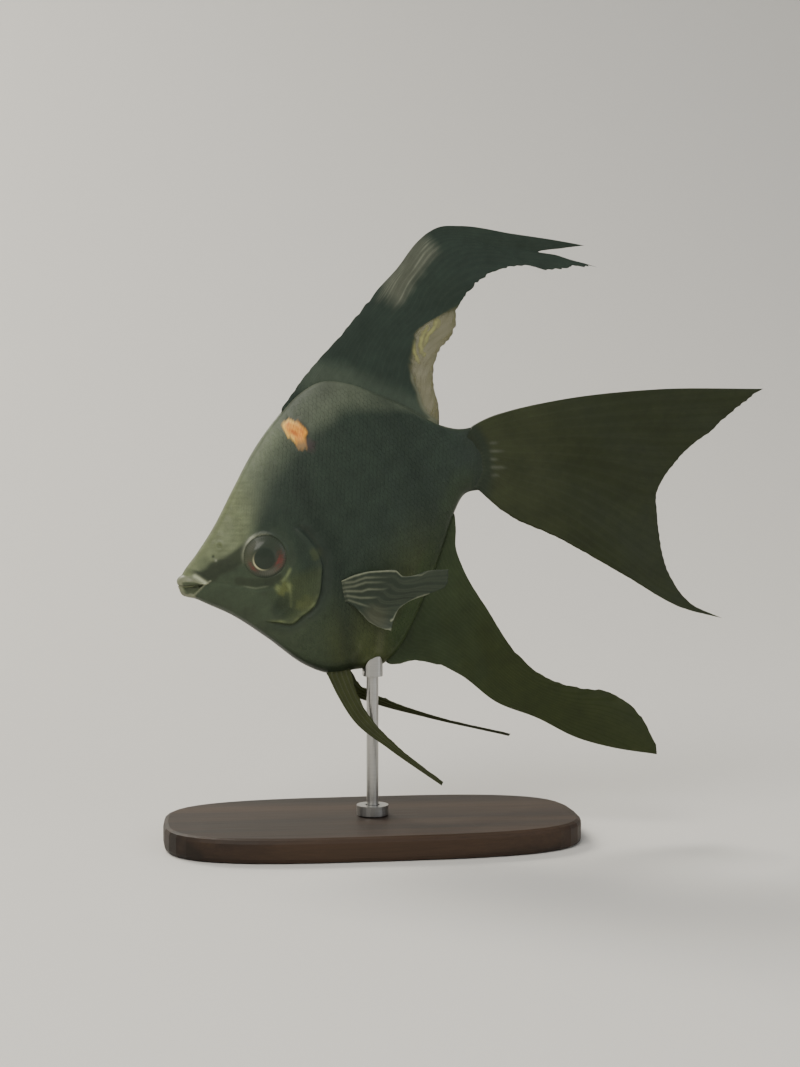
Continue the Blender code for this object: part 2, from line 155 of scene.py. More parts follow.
def eyeMiddle():
    # the middle of the eye's solid, in millimetres of the room
    low, high = leftEye
    return [(low[k] + high[k]) / 2 / mm for k in range(3)]


def toRoom(points):
    # tips the fish's frame by the pitch about the lips, sets it where the eye's solid is, in metres
    points = np.asarray(points, dtype=float)
    c, s = math.cos(fishPose["pitch"]), math.sin(fishPose["pitch"])
    eyeX, eyeZ = fishPose["eyePlace"]
    middle = eyeMiddle()
    startX = middle[0] - (eyeX * c - eyeZ * s)
    startZ = middle[2] - (eyeX * s + eyeZ * c)
    x, y, z = points[..., 0], points[..., 1], points[..., 2]
    return np.stack((startX + x * c - z * s, y, startZ + x * s + z * c), axis=-1) * mm


def depthShare(x, z):
    # how high in the body's side view a place lies: 0 at the belly's outline, 1 at the back's
    low, high = line(body["belly"], x), line(body["back"], x)
    return (z - low) / (high - low)


def flank(x, z):
    # half the body's width at a place of the side view: a lens, with its two ridges rounded off
    level = line(body["widest"], x)
    upper = z > level
    reach = np.where(upper, line(body["back"], x) - level, level - line(body["belly"], x))
    c = np.clip(np.abs(z - level) / reach, 0.0, 1.0)
    above = (1 - c ** body["backTaper"][0]) ** body["backTaper"][1]
    below = (1 - c ** body["bellyTaper"][0]) ** body["bellyTaper"][1]
    ridge = np.where(upper, line(body["backRidge"], x), line(body["bellyRidge"], x))
    width = ridge + (line(body["width"], x) - ridge) * np.where(upper, above, below)
    edge = np.clip(reach * (1 - c) / (body["ridgeRound"] * ridge), 0.0, 1.0)
    return width * np.sqrt(1 - (1 - edge) ** 2)


def makeMesh(name, points, faces, material, attributes=None, uv=None, crisp=()):
    # a mesh object from points in metres and arrays of four- and three-cornered faces, turned outwards;
    # the arrays numbered in crisp are shaded flat
    mesh = bpy.data.meshes.new(name)
    points = np.ascontiguousarray(points, dtype=np.float64).reshape(-1, 3)
    volume = 0.0
    for f in faces:
        for k in range(1, f.shape[1] - 1):
            areas = np.cross(points[f[:, k]], points[f[:, k + 1]])
            volume = volume + np.einsum("ij,ij->i", points[f[:, 0]], areas).sum()
    if volume < 0:
        faces = [f[:, ::-1] for f in faces]
    mesh.vertices.add(len(points))
    mesh.vertices.foreach_set("co", points.ravel())
    corners = np.concatenate([f.ravel() for f in faces])
    sizes = np.concatenate([np.full(len(f), f.shape[1]) for f in faces])
    mesh.loops.add(len(corners))
    mesh.loops.foreach_set("vertex_index", corners.astype(np.int32))
    mesh.polygons.add(len(sizes))
    starts = np.concatenate(([0], np.cumsum(sizes)[:-1]))
    mesh.polygons.foreach_set("loop_start", starts.astype(np.int32))
    rounded = np.concatenate([np.full(len(f), k not in crisp) for k, f in enumerate(faces)])
    mesh.polygons.foreach_set("use_smooth", rounded)
    mesh.update(calc_edges=True)
    mesh.validate()
    for key, values in (attributes or {}).items():
        values = np.asarray(values, dtype=np.float64)
        if values.ndim > 1:
            layer = mesh.attributes.new(key, "FLOAT_COLOR", "POINT")
            full = np.concatenate((values, np.ones((len(values), 1))), axis=1)
            layer.data.foreach_set("color", full.ravel())
        else:
            layer = mesh.attributes.new(key, "FLOAT", "POINT")
            layer.data.foreach_set("value", values)
    if uv is not None:
        layer = mesh.uv_layers.new(name="OFBake")
        vertexOf = np.empty(len(mesh.loops), dtype=np.int32)
        mesh.loops.foreach_get("vertex_index", vertexOf)
        layer.data.foreach_set("uv", uv[vertexOf].ravel())
    mesh.materials.append(material)
    made = bpy.data.objects.new(name, mesh)
    bpy.context.scene.collection.objects.link(made)
    return made


def settle(piece, slotName, *nodes):
    # the piece rides with the whole still model and stands for the solids named
    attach(piece, "root")
    if nodes:
        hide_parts(*nodes)
    return piece


def ringFaces(columns, around):
    # faces of a grid that closes on itself across, with its last column joined to the first
    i = np.arange(columns - 1)[:, None] * around
    j = np.arange(around)[None, :]
    k = (j + 1) % around
    return np.stack((i + j, i + around + j, i + around + k, i + k), axis=-1).reshape(-1, 4)


def fanFaces(pole, first, around):
    # a pole joined to a closed ring of points that starts at first
    j = np.arange(around)
    k = (j + 1) % around
    return np.stack((np.full(around, pole), first + j, first + k), axis=-1)


def sheetFaces(columns, rows):
    # two like grids joined round their rim into one closed solid; the second grid's points come after
    i = np.arange(columns - 1)[:, None] * rows
    j = np.arange(rows - 1)[None, :]
    cells = np.stack((i + j, i + rows + j, i + rows + j + 1, i + j + 1), axis=-1).reshape(-1, 4)
    count = columns * rows
    rim = np.concatenate((np.arange(columns) * rows, (columns - 1) * rows + np.arange(1, rows),
                          np.arange(columns - 2, -1, -1) * rows + rows - 1,
                          np.arange(rows - 2, 0, -1)))
    after = np.roll(rim, -1)
    side = np.stack((after, rim, rim + count, after + count), axis=-1)
    return np.concatenate((cells, cells[:, ::-1] + count, side))


def normalsOf(grid):
    # unit normals of a grid that closes on itself across, from the cross product of its two slopes
    across = (np.roll(grid, -1, axis=1) - np.roll(grid, 1, axis=1)) / 2
    normal = np.cross(np.gradient(grid, axis=0), across)
    return normal / np.maximum(np.linalg.norm(normal, axis=-1, keepdims=True), 1e-9)


# the mouth: its rim runs in a blunt U from one corner round the front to the other
mouth = {
    "corner": 5.6, "cornerWidth": 2.8, "front": {"upper": -0.3, "lower": -0.75},
    "level": -0.5, "slope": -0.29, "gape": 0.16, "gapeFall": 2.5, "tuck": 0.3, "bluntness": 0.8,
    "throat": (8.4, -2.8), "throatArch": 0.8,
    # each lip's reach and height, in front and at the corner
    "roll": {"upper": {"reach": (2.35, 1.15), "height": (0.62, 0.3)},
             "lower": {"reach": (0.6, 0.5), "height": (0.06, 0.04)}},
    "rollInward": 0.45, "lipEnd": 6.0,
    "lowerLip": {"line": ((-0.4, -0.9), (-0.55, -2.0), (-0.4, -3.0), (0.35, -3.75), (1.8, -4.15)),
                 "reach": 0.62, "height": 0.26},
    "fold": ((-1.0, -5.4), (1.85, -4.0), (5.3, -2.3), (6.4, -1.8)), "foldDepth": 0.42,
    "ridge": ((1.9, -4.0), (3.6, -3.2), (5.3, -2.3), (7.0, -1.95)), "ridgeHeight": 0.16,
    "end": 9.0, "columns": 34, "inside": 10,
}
skin = {
    "rows": 150, "headColumns": 150, "trunkColumns": 72, "headEnd": 44.0, "tail": 78.0,
    "overrun": 0.4, "tailBlend": 66.0,       # behind tailBlend the columns bend to the tail's edge
    "thinning": 0.66, "thinFrom": 71.0,      # and the flanks close in on the caudal fin
}

# the folds and furrows of the head, in the side view
eye = {"place": (21.6, -0.75), "rim": 5.35, "gaze": (-0.45, -0.45)}
gill = {
    "middle": (23.5, -6.5),
    # how far the free edge of the gill cover lies from that middle, by heading in degrees
    "edge": ((-126, 11.7), (-112, 11.5), (-97, 12.1), (-82, 11.2), (-62, 11.0), (-41, 10.3),
             (-26, 9.95), (-3, 10.4), (24, 10.9), (48, 12.1)),
    "proud": 0.3, "slit": 0.42,
    "cheekFold": ((26.7, -5.2), (25.2, -7.0), (24.9, -9.4), (24.1, -12.1), (22.8, -14.3), (19.6, -15.6),
                  (15.8, -14.8)),
    "eyeFold": ((8.0, -2.6), (11.0, -4.2), (14.2, -6.0), (16.9, -7.7), (20.4, -8.4), (23.4, -7.8)),
    # relief along those folds: shift of the line, height, half width and the share where it is full
    "relief": (("cheekFold", (0.0, 0.0), 0.09, 0.5, 0.12), ("cheekFold", (0.55, -0.35), -0.08, 0.45, 0.12),
               ("eyeFold", (0.0, 0.0), -0.12, 0.5, 0.1)),
}
nostril = {"place": (12.1, 5.5), "pit": 0.42, "depth": 0.55, "rim": 0.85, "pore": (9.9, 3.4)}
sideLine = {"front": ((33.2, 4.0), (36.0, 9.0), (42.0, 15.2), (50.0, 19.4), (58.0, 18.2),
                      (64.0, 14.4)),
            "rear": ((59.0, 3.0), (66.0, 3.2), (73.0, 3.3), (80.0, 3.3)), "height": 0.02}


def fromEye(x, z):
    # distance from the eye's middle in the side view
    return np.hypot(x - eye["place"][0], z - eye["place"][1])


def beyondGill(x, z):
    # how far a place lies beyond the free edge of the gill cover, and how fully that edge is there
    dx, dz = x - gill["middle"][0], z - gill["middle"][1]
    heading = np.degrees(np.arctan2(dz, dx))
    there = ease(-132, -112, heading) * ease(58, 42, heading)
    return np.hypot(dx, dz) - line(gill["edge"], heading), there


def headRelief(x, z):
    # outward shift of the skin: sunk round the eyeball, ridges along folds, a step at the gill's edge
    r = fromEye(x, z)
    up = (z - eye["place"][1]) / np.maximum(r, 0.1)
    out = -2.6 * ease(5.15, 4.5, r)
    out = out + (0.17 + 0.13 * up) * bump(r, eye["rim"], 0.36) - 0.1 * bump(r, 6.3, 0.7)
    beyond, there = beyondGill(x, z)
    lifted = gill["proud"] * ease(-3.2, -0.5, beyond) * ease(0.28, 0.0, beyond)
    opened = -gill["slit"] * ease(0.0, 0.3, beyond) * ease(1.7, 0.3, beyond)
    out = out + there * (lifted + opened)
    for kind, (shiftX, shiftZ), height, wide, full in gill["relief"]:
        fold, share = nearLine(x + shiftX, z + shiftZ, gill[kind])
        out = out + height * bump(fold, 0.0, wide) * ease(0.0, full, share) * ease(1.0, 0.8, share)
    out = out + 0.06 * bump(nearLine(x, z + 0.9, gill["eyeFold"])[0], 0.0, 0.7)
    hole = np.hypot(x - nostril["place"][0], z - nostril["place"][1])
    out = out - nostril["depth"] * bump(hole, 0.0, nostril["pit"]) + 0.16 * bump(hole, nostril["rim"], 0.25)
    pore = np.hypot(x - nostril["pore"][0], z - nostril["pore"][1])
    return out - 0.16 * bump(pore, 0.0, 0.25)


def bodyRelief(x, z):
    # faint muscle bands, soft wrinkles on the shoulder and the raised lines of pores on the side
    depth = depthShare(x, z)
    flat = ease(0.02, 0.1, depth) * ease(0.98, 0.9, depth)
    bands = np.sin(2 * math.pi * (x + 5.0 * np.abs(depth - 0.5)) / 4.6)
    out = 0.05 * bands * ease(38.0, 46.0, x) * ease(80.0, 70.0, x)
    out = out + 0.05 * ripple(x, z, 3.2, 11) * ease(8.0, 12.0, x)
    for part in ("front", "rear"):
        away, share = nearLine(x, z, sideLine[part])
        ends = ease(0.0, 0.05, share) * ease(1.0, 0.95, share)
        out = out + sideLine["height"] * bump(away, 0.0, 0.4) * ends
    return out * flat


patch = {   # a raised orange patch, on the left shoulder only
    "spine": ((38.3, 26.9), (39.7, 25.0), (39.4, 21.5)), "ragged": 0.55, "raised": 0.22,
    "reach": ((0.0, 1.62), (0.3, 2.15), (0.65, 1.85), (1.0, 0.9)), "redder": ((38.2, 26.0), (39.0, 24.8)),
}


def inPatch(x, z):
    # 1 inside the orange patch, with a ragged edge; also how far in from its edge a place lies
    away, share = nearLine(x, z, patch["spine"])
    rough = ripple(x, z, 2.6, 21) + 0.4 * ripple(x, z, 1.6, 22)
    reach = line(patch["reach"], share) + patch["ragged"] * rough
    return ease(0.42, -0.42, away - reach), reach - away


def patchRelief(x, z, side):
    # the orange patch stands a little proud, with a lumpy crown and one ridge down its length
    _, rim = inPatch(x, z)
    crown = ease(-0.2, 0.7, rim) * (1 + 0.5 * ripple(x + 0.4 * z, 0.5 * z, 1.9, 31))
    return patch["raised"] * crown * (side < 0)


def lipProfile(along, share, upper):
    # a lip is half an ellipse in section: outward shift by distance from the rim (inside is negative)
    def grown(key):
        # a lip's value at the corner of the mouth, grown to its value in front
        front, corner = (np.where(upper, mouth["roll"]["upper"][key][k], mouth["roll"]["lower"][key][k])
                         for k in (0, 1))
        return corner + (front - corner) * ease(0.0, 0.45, share)

    reach = grown("reach")
    inner = -mouth["rollInward"] * reach
    t = (along - (reach + inner) / 2) / ((reach - inner) / 2)
    section = np.sqrt(np.clip(1 - t * t, 0.0, 1.0))
    return grown("height") * section, ease(1.12, 0.92, t) * ease(-1.3, -1.0, t)


def skinShares():
    # places from belly (0) to back (1), closer together at both ridges and beside the mouth
    def crowd(s):
        return 1 + 1.3 * bump(s, 0.38, 0.2) + 7 * np.exp(-s / 0.012) + 7 * np.exp((s - 1) / 0.012)
    return spaced(skin["rows"] + 1, 0.0, 1.0, crowd)[None, :]


def mouthHalves(share):
    # which rows run over the upper lip, their sign, and their place from the corner (0) to the front (1)
    end = mouth["end"]
    low, high = float(line(body["belly"], end)), float(line(body["back"], end))
    seam = (mouth["level"] + mouth["slope"] * end - low) / (high - low)
    upper = share >= seam
    toFront = np.where(upper, (share - seam) / (1 - seam), (seam - share) / seam)
    return upper, np.where(upper, 1.0, -1.0), toFront


def seamAt(x, sign):
    # height of the mouth's seam: a straight slope, opened by half the gape that grows to the front
    gape = mouth["gape"] * np.clip(1 - x / mouth["corner"], 0.0, 1.0) ** mouth["gapeFall"]
    return mouth["level"] + mouth["slope"] * x + sign * gape


def mouthRim(upper, sign, toFront):
    # x by the sine and y by the cosine of the turn from corner to front, each to the same power
    turn = toFront * math.pi / 2
    front = np.where(upper, mouth["front"]["upper"], mouth["front"]["lower"])
    x = mouth["corner"] - (mouth["corner"] - front) * np.sin(turn) ** mouth["bluntness"]
    tuck = np.where(upper, 0.0, mouth["tuck"]) * ease(0.0, 0.15, toFront)
    y = mouth["cornerWidth"] * np.cos(turn) ** mouth["bluntness"] * (1 - tuck)
    return x, y, seamAt(x, sign)


def throatColumns(rim, sign, toFront):
    # straight from the throat out to the rim, arched up and down on the way
    rimX, rimY, rimZ = rim
    throatX, throatZ = mouth["throat"]
    p = np.linspace(0.97, 0.0, mouth["inside"] + 1)[:-1, None] ** 1.3
    arch = sign * mouth["throatArch"] * np.sin(math.pi * p) * toFront
    return rimX + (throatX - rimX) * p, rimY * (1 - p) ** 0.6, rimZ + (throatZ - rimZ) * p + arch


def lipColumns(rim, upper, sign, toFront):
    # back over the lips: rows spread from the seam to the body's outline, and out to its flank
    rimX, rimY, rimZ = rim
    q = np.linspace(0.0, 1.0, mouth["columns"])[:, None] ** 1.6
    x = rimX + (mouth["end"] - rimX) * q * (1 - toFront * toFront * np.exp(-(q / 0.1) ** 2))
    climb = toFront * (1 - (1 - q) ** (1 + 30 * toFront ** 3))
    edge = np.where(upper, line(body["back"], x), line(body["belly"], x))
    z = seamAt(x, sign) + climb * (edge - seamAt(x, sign))
    z = z + (edge - z) * ease(0.03, 0.12, q) * ease(0.96, 1.0, toFront)
    squeeze = np.clip(rimY / np.maximum(flank(rimX, rimZ), 0.2), 0.0, 1.0)
    return x, flank(x, z) * (squeeze + (1 - squeeze) * ease(0.0, 0.42, q)), z


def tailShift(share):
    # how far behind its last straight column the skin ends, by the share of the body's depth
    return line(body["tailEdge"], share) - skin["tail"] + skin["overrun"]


def bodyColumns(share):
    # stations along head and trunk, the last ones bent to the tail's edge, with their places
    station = np.concatenate((
        np.linspace(mouth["end"], skin["headEnd"], skin["headColumns"])[1:],
        np.linspace(skin["headEnd"], skin["tail"], skin["trunkColumns"])[1:]))[:, None]
    x = station + tailShift(share) * ease(skin["tailBlend"], skin["tail"], station)
    low = line(body["belly"], x)
    z = low + share * (line(body["back"], x) - low)
    thin = 1 - skin["thinning"] * ease(skin["thinFrom"], skin["tail"], station)
    return station[:, 0], (x, flank(x, z) * thin, z)


def mirrored(row):
    # values of one half of the skin, carried on over the other half
    return np.concatenate((row, row[:, -2:0:-1]), axis=1)


def skinNormals(grid):
    # the grid's normals, turned so that the left flank's point to the left
    normal = normalsOf(grid)
    return -normal if normal[len(grid) // 2, skin["rows"] // 2, 1] > 0 else normal


def skinRelief(grid, along, share, upper, toFront):
    # outward shift of every place; also how fully it is lip, and pit behind the lower lip
    x, y, z = grid[..., 0], grid[..., 1], grid[..., 2]
    outside = (np.arange(len(grid)) >= mouth["inside"])[:, None]
    edgeFade = ease(0.0, 0.03, share) * ease(1.0, 0.97, share)
    relief = outside * edgeFade * headRelief(x, z) + outside * bodyRelief(x, z) - body["inset"]
    roll, lips = lipProfile(along, toFront, upper)
    onLips = along < mouth["lipEnd"]
    relief = relief + roll * onLips
    ridge = nearLine(x, z, mouth["ridge"])[0]
    relief = relief + outside * mouth["ridgeHeight"] * bump(ridge, 0.0, 0.22)
    relief = relief + outside * patchRelief(x, z, np.where(y < 0, -1.0, 1.0))
    lower = outside * np.where(upper, 0.0, 1.0) * ease(0.02, 0.08, toFront)
    pit = lower * ease(0.05, 0.6, z - line(mouth["fold"], x)) * ease(0.1, 0.8, x + 0.25 * (z + 2.0))
    pit = pit * ease(0.9, 1.6, np.abs(y)) * ease(6.4, 5.6, x)
    relief = relief - mouth["foldDepth"] * pit * ease(0.1, 0.7, along)
    band = nearLine(x, z, mouth["lowerLip"]["line"])[0]
    relief = relief + lower * mouth["lowerLip"]["height"] * bump(band, 0.0, mouth["lowerLip"]["reach"])
    lips = np.where(upper, lips, lower * ease(0.75, 0.45, band)) * (along > -1.2) * onLips
    return relief, lips, pit


def buildSkinGrid():
    # one sock of skin: out of the throat, over the lips, and back along the body to the tail's root
    share = skinShares()
    upper, sign, toFront = mouthHalves(share)
    rim = mouthRim(upper, sign, toFront)
    station, trunk = bodyColumns(share)
    parts = (throatColumns(rim, sign, toFront), lipColumns(rim, upper, sign, toFront), trunk)
    x, y, z = (np.concatenate(columns) for columns in zip(*parts))
    y[:, (0, -1)] = 0.0
    left = np.stack((x, -y, z), axis=-1)
    right = np.stack((x, y, z), axis=-1)[:, -2:0:-1]
    grid = np.concatenate((left, right), axis=1)

    steps = np.linalg.norm(np.diff(grid, axis=0), axis=-1)
    along = np.concatenate((np.zeros((1, grid.shape[1])), np.cumsum(steps, axis=0)))
    along = along - along[mouth["inside"]]
    share, upper = mirrored(share), mirrored(upper)
    relief, lips, pit = skinRelief(grid, along, share, upper, mirrored(toFront))
    grid = grid + skinNormals(grid) * relief[..., None]
    return {"grid": grid, "share": share, "station": station, "along": along, "upper": upper,
            "lips": lips, "pit": pit, "inside": ease(-0.25, -1.1, along)}


skinGrid = buildSkinGrid()
print("skin grid worked out:", skinGrid["grid"].shape)


# colours of the living fish as linear values, some of them painted highlights, painted sheen and painted
# shade, and the lines that its markings follow
tones = {
    "flank": (0.019, 0.030, 0.020), "belly": (0.048, 0.058, 0.017), "forehead": (0.125, 0.145, 0.074),
    "nape": (0.126, 0.148, 0.093), "shoulder": (0.072, 0.085, 0.060), "cheek": (0.036, 0.050, 0.027),
    "snoutStripe": (0.019, 0.0255, 0.013), "lip": (0.165, 0.175, 0.110), "lipHighlight": (0.43, 0.46, 0.31),
    "mouthInside": (0.052, 0.064, 0.033), "throat": (0.170, 0.195, 0.105),
    "gillYellow": (0.068, 0.080, 0.027), "gillOlive": (0.048, 0.060, 0.020),
    "gillEdge": (0.120, 0.145, 0.062), "darkBand": (0.009, 0.015, 0.010),
    "rimPale": (0.150, 0.160, 0.110), "glint": (0.42, 0.43, 0.33), "orange": (0.700, 0.305, 0.042),
    "orangeRim": (0.84, 0.54, 0.13), "orangeDeep": (0.420, 0.090, 0.015),
    "patchEnd": (0.190, 0.135, 0.075), "scar": (0.052, 0.030, 0.033), "vent": (0.076, 0.086, 0.042),
    "bellyRear": (0.030, 0.048, 0.0155), "bellyRim": (0.048, 0.066, 0.026),
    "tailEnd": (0.015, 0.0225, 0.014),
}
marks = {
    # the pale back, partly the skin's greyer tone and partly painted sheen, by distance from the lips: how
    # deep it reaches, how softly it ends, how full it is
    "paleDepth": ((2.0, 3.4), (8.0, 6.4), (12.0, 9.0), (16.0, 12.2), (20.0, 12.6), (25.0, 10.2),
                  (31.0, 8.4), (37.0, 8.6), (43.0, 9.2), (48.0, 9.4), (53.0, 7.8), (58.0, 6.4),
                  (62.0, 4.4), (67.0, 2.2), (72.0, 0.8)),
    "paleSoft": ((2.0, 1.8), (12.0, 2.2), (20.0, 4.4), (46.0, 3.6), (56.0, 2.0), (70.0, 0.9)),
    "paleFull": ((50.0, 1.0), (55.0, 0.72), (60.0, 0.42), (74.0, 0.3)),
    "vent": (((36.0, -29.6), (35.3, -30.8), (33.9, -31.4), (33.0, -32.8), (33.7, -33.9)),
             ((35.8, -33.6), (38.0, -34.0))),
    "wedge": ((42.0, -28.8), (41.2, -30.6), (40.3, -32.6)),
    "stripe": ((5.2, -0.7), (7.8, -0.5), (9.2, 0.5), (12.8, 0.6), (17.6, 1.9), (20.0, 2.6)),
    "underEye": ((13.6, -4.2), (17.0, -5.9), (20.0, -6.9), (23.0, -6.9)),
    "lid": ((13.4, -5.3), (16.7, -7.25), (20.4, -7.95)),
    # pale streaks on the gill cover, with their strength
    "gillStreaks": ((((26.2, -5.8), (24.8, -7.1), (23.4, -7.8)), 0.7),
                    (((24.9, -9.2), (24.1, -12.1), (23.4, -14.4)), 0.3)),
    # a dark band behind the gill cover: (height, distance from the lips)
    "band": ((-30.0, 33.0), (-10.0, 37.0), (10.0, 36.0), (26.0, 38.0)),
    # the painted highlight streak along the upper lip
    "lipHighlight": ((4.0, 0.5), (4.7, -0.4), (5.7, -1.8)),
    "lipRidge": ((1.9, -4.0), (3.6, -3.2), (5.3, -2.3), (7.1, -1.9)),
    "behindLip": ((2.9, 2.4), (4.4, 1.3), (5.8, 0.0)),
    "underLip": ((0.5, 0.1), (1.5, -0.1), (2.5, -0.5), (3.6, -1.0), (4.6, -1.8)),
}


def mixed(base, tone, weight):
    # base moved towards a tone by a weight for each place
    return base + (np.array(tone) - base) * np.asarray(weight)[..., None]


def plain(tone, x):
    # one tone at every place of x
    return np.zeros(np.shape(x) + (3,)) + np.array(tone)


def painted(colour, coats, table=tones):
    # lays coats over a colour, one after the other: each is a tone's name and how fully it covers
    for tone, cover in coats:
        colour = mixed(colour, table[tone], cover)
    return colour


def paleness(x, z):
    # how fully a place has the pale tone of forehead and nape, partly the skin's greyer tone and partly
    # painted sheen: full at the back, 0 below its border, and brighter near the back's outline as a painted
    # rim light
    down = line(body["back"], x) - z
    border = line(marks["paleDepth"], x) + 0.9 * ripple(x, z, 9.0, 3)
    soft = line(marks["paleSoft"], x)
    # painted rim light: brighter within a few millimetres of the back's outline
    lit = 0.8 + 0.26 * ease(6.5, 0.8, down)
    return lit * ease(border + soft, border - 1.25 * soft, down) * line(marks["paleFull"], x)


def trunkCoats(x, z, depth, pale):
    # the olive belly and its rim, with painted shade over the belly's rear ridge and painted light along the
    # anal fin's root, the vent, the cheek and the pale back, partly painted sheen
    above = z - line(body["belly"], x)
    rear = 1 - 0.8 * ease(54.0, 68.0, x)
    vent = np.minimum(*(nearLine(x, z, points)[0] for points in marks["vent"]))
    vent = bump(vent + 0.3 * ripple(x, z, 2.2, 38), 0.0, 0.5)
    wedge = nearLine(x, z, marks["wedge"])[0] + 0.4 * ripple(x, z, 2.6, 39)
    return (("belly", ease(0.42, 0.02, depth) * 0.85 * ease(16.0, 36.0, x) * rear),
            # the belly's rear: partly its greener tone, partly painted shade that darkens the lit ridge above
            # its outline
            ("bellyRear", ease(9.0, 5.0, above) * ease(40.0, 46.0, x) * rear),
            # painted light: a paler strip along the anal fin's root, against the shade there
            ("bellyRim", ease(2.0, 0.5, above) * ease(42.0, 46.0, x) * ease(68.0, 60.0, x) * 0.8),
            ("vent", np.maximum(0.5 * vent, 0.55 * ease(1.5, 0.5, wedge))),
            ("cheek", ease(31.0, 24.0, x) * ease(0.75, 0.5, depth) * 0.9),
            # the pale back: partly the skin's greyer tone, partly painted sheen
            ("nape", pale * 0.86),
            ("shoulder", pale * ease(33.0, 41.0, x)),
            ("forehead", pale * ease(27.0, 18.0, x)))


def headCoats(x, z):
    # a painted highlight along the back's ridge, the dark stripe from lips to eye, nostril pores with a
    # painted glint, a painted highlight and glint on the eye's ring, and the lower lid
    down = line(body["back"], x) - z
    stripe = nearLine(x, z, marks["stripe"])[0]
    r, (eyeX, eyeZ) = fromEye(x, z), eye["place"]
    up = (z - eyeZ + 0.5 * (eyeX - x)) / np.maximum(r, 0.1)
    glint = np.hypot(x - eyeX + 1.9, z - eyeZ - 5.1) * ease(6.6, 5.6, r)
    underEye = nearLine(x, z, marks["underEye"])[0]
    lid, share = nearLine(x, z, marks["lid"])
    # painted highlight along the back's ridge
    return (("rimPale", bump(down, 0.35, 0.4) * ease(37.0, 40.0, x) * ease(53.0, 47.0, x) * 0.4),
            ("cheek", ease(2.6, 0.8, np.hypot(x - 7.2, z - 2.3)) * 0.4),
            ("snoutStripe", ease(2.5, 1.2, stripe) * 0.9),
            ("darkBand", bump(np.hypot(x - 9.8, z - 3.5), 0.0, 0.35) * 0.9),
            # painted glint beside the pore
            ("glint", bump(np.hypot(x - 10.1, z - 2.4), 0.0, 0.28) * 0.4),
            # painted highlight on the upper front of the eye's ring, with a painted glint above it
            ("rimPale", bump(r, eye["rim"], 0.4) * ease(0.45, 0.9, up) * 0.75),
            ("glint", bump(r, 5.5, 0.25) * ease(2.2, 0.4, glint) * 0.8),
            ("snoutStripe", ease(1.5, 0.5, underEye) * 0.7),
            ("nape", bump(lid, 0.0, 0.22) * ease(0.0, 0.3, share) * ease(1.0, 0.8, share) * 0.5))


def gillCoats(x, z, depth):
    # olive and yellow spots and streaks on the gill cover, its pale edge, painted shade in the slit behind
    # its free edge, and dark bands behind it
    beyond, there = beyondGill(x, z)
    cover = ease(0.2, -0.3, beyond) * there
    blotch = np.hypot(x - 21.6, z + 14.0) + 0.9 * ripple(x, z, 4.0, 35)
    spot = np.hypot((x - 23.1) / 2.1, (z + 9.6) / 1.7) + 0.5 * ripple(x, z, 2.0, 5)
    bright = np.minimum(np.hypot(x - 21.8, z + 9.2), np.hypot((x - 24.5) / 0.7, (z + 9.5) / 1.5))
    sheen = np.hypot((x - 27.0) / 1.4, z + 15.0) + 0.9 * ripple(x, z, 2.8, 36)
    fleck = np.hypot(x - 33.4, z + 4.4) + 0.5 * ripple(x, z, 2.6, 37)
    wander = 0.2 * ripple(x, z, 1.8, 34)
    streaks = [("gillEdge", bump(nearLine(x, z, points)[0] + wander, 0.0, 0.36) * strength)
               for points, strength in marks["gillStreaks"]]
    broken = np.clip(0.65 + 1.1 * ripple(x, z, 2.4, 33), 0.0, 1.0)
    edge = bump(beyond, -0.35, 0.4) * there * broken
    band = x - line(marks["band"], z)
    return (("gillOlive", cover * ease(-6.0, -9.0, z) * ease(19.0, 23.0, x) * 0.42),
            ("darkBand", ease(3.7, 1.6, blotch) * 0.5),
            ("gillYellow", ease(1.25, 0.5, spot) * 0.95),
            ("gillEdge", bump(bright + 0.4 * ripple(x, z, 1.4, 40), 0.0, 0.75) * 0.75),
            ("gillYellow", ease(2.6, 0.6, sheen) * 0.62 * cover),
            ("gillOlive", ease(2.2, 0.8, fleck) * 0.45),
            *streaks,
            ("gillEdge", edge * (0.04 + 0.72 * bump(z, -16.8, 2.2))),
            # painted shade in the slit just behind the gill cover's free edge
            ("darkBand", bump(beyond, 1.2, 1.1) * there * 0.4),
            ("darkBand", bump(band, 0.0, 2.4) * ease(0.9, 0.7, depth) * 0.5),
            ("darkBand", bump(x, 63.5, 4.2) * 0.35))


def patchCoats(x, z, side):
    # the orange patch: a dark rim behind, paler in front, red veins, a brown lower end and a faint trail
    inside, rim = inPatch(x, z)
    left = np.asarray(side) < 0
    inside = inside * left
    redder = nearLine(x, z, patch["redder"])[0]
    veins = ease(0.26, 0.04, np.abs(ripple(x + 0.6 * z, 0.25 * z, 1.5, 31)))
    trail = np.hypot(x - 41.4, (z - 21.0) / 1.6) + 0.5 * ripple(x, z, 2.0, 32)
    return (("darkBand", bump(rim, -0.35, 0.4) * ease(-0.6, 0.6, x + 0.5 * z - 51.9) * left * 0.6),
            ("orange", inside * (1 - 0.4 * ease(24.0, 21.0, z))),
            ("orangeRim", inside * ease(0.9, 0.1, rim) * ease(22.0, 24.0, z) * ease(41.0, 39.4, x)),
            ("orangeDeep", inside * bump(redder, 0.0, 0.5) * 0.5),
            ("orangeDeep", inside * veins * ease(0.2, 1.2, rim) * 0.75),
            ("patchEnd", inside * ease(23.6, 21.4, z + 0.6 * ripple(x, z, 1.6, 33)) * 0.9),
            ("scar", ease(1.6, 0.5, trail) * (1 - inside) * left * 0.55))


def edgeCoats(x, z, depth):
    # a dark lower edge from throat to belly, and the dark end of the stalk
    under = ease(0.075, 0.02, depth) * ease(7.0, 10.0, x) * ease(36.0, 30.0, x)
    tail = x - line(body["tailEdge"], depth)
    return (("darkBand", under * 0.75),
            ("tailEnd", ease(-5.5, -0.6, tail + 0.8 * ripple(x, z, 3.0, 45)) * 0.85))


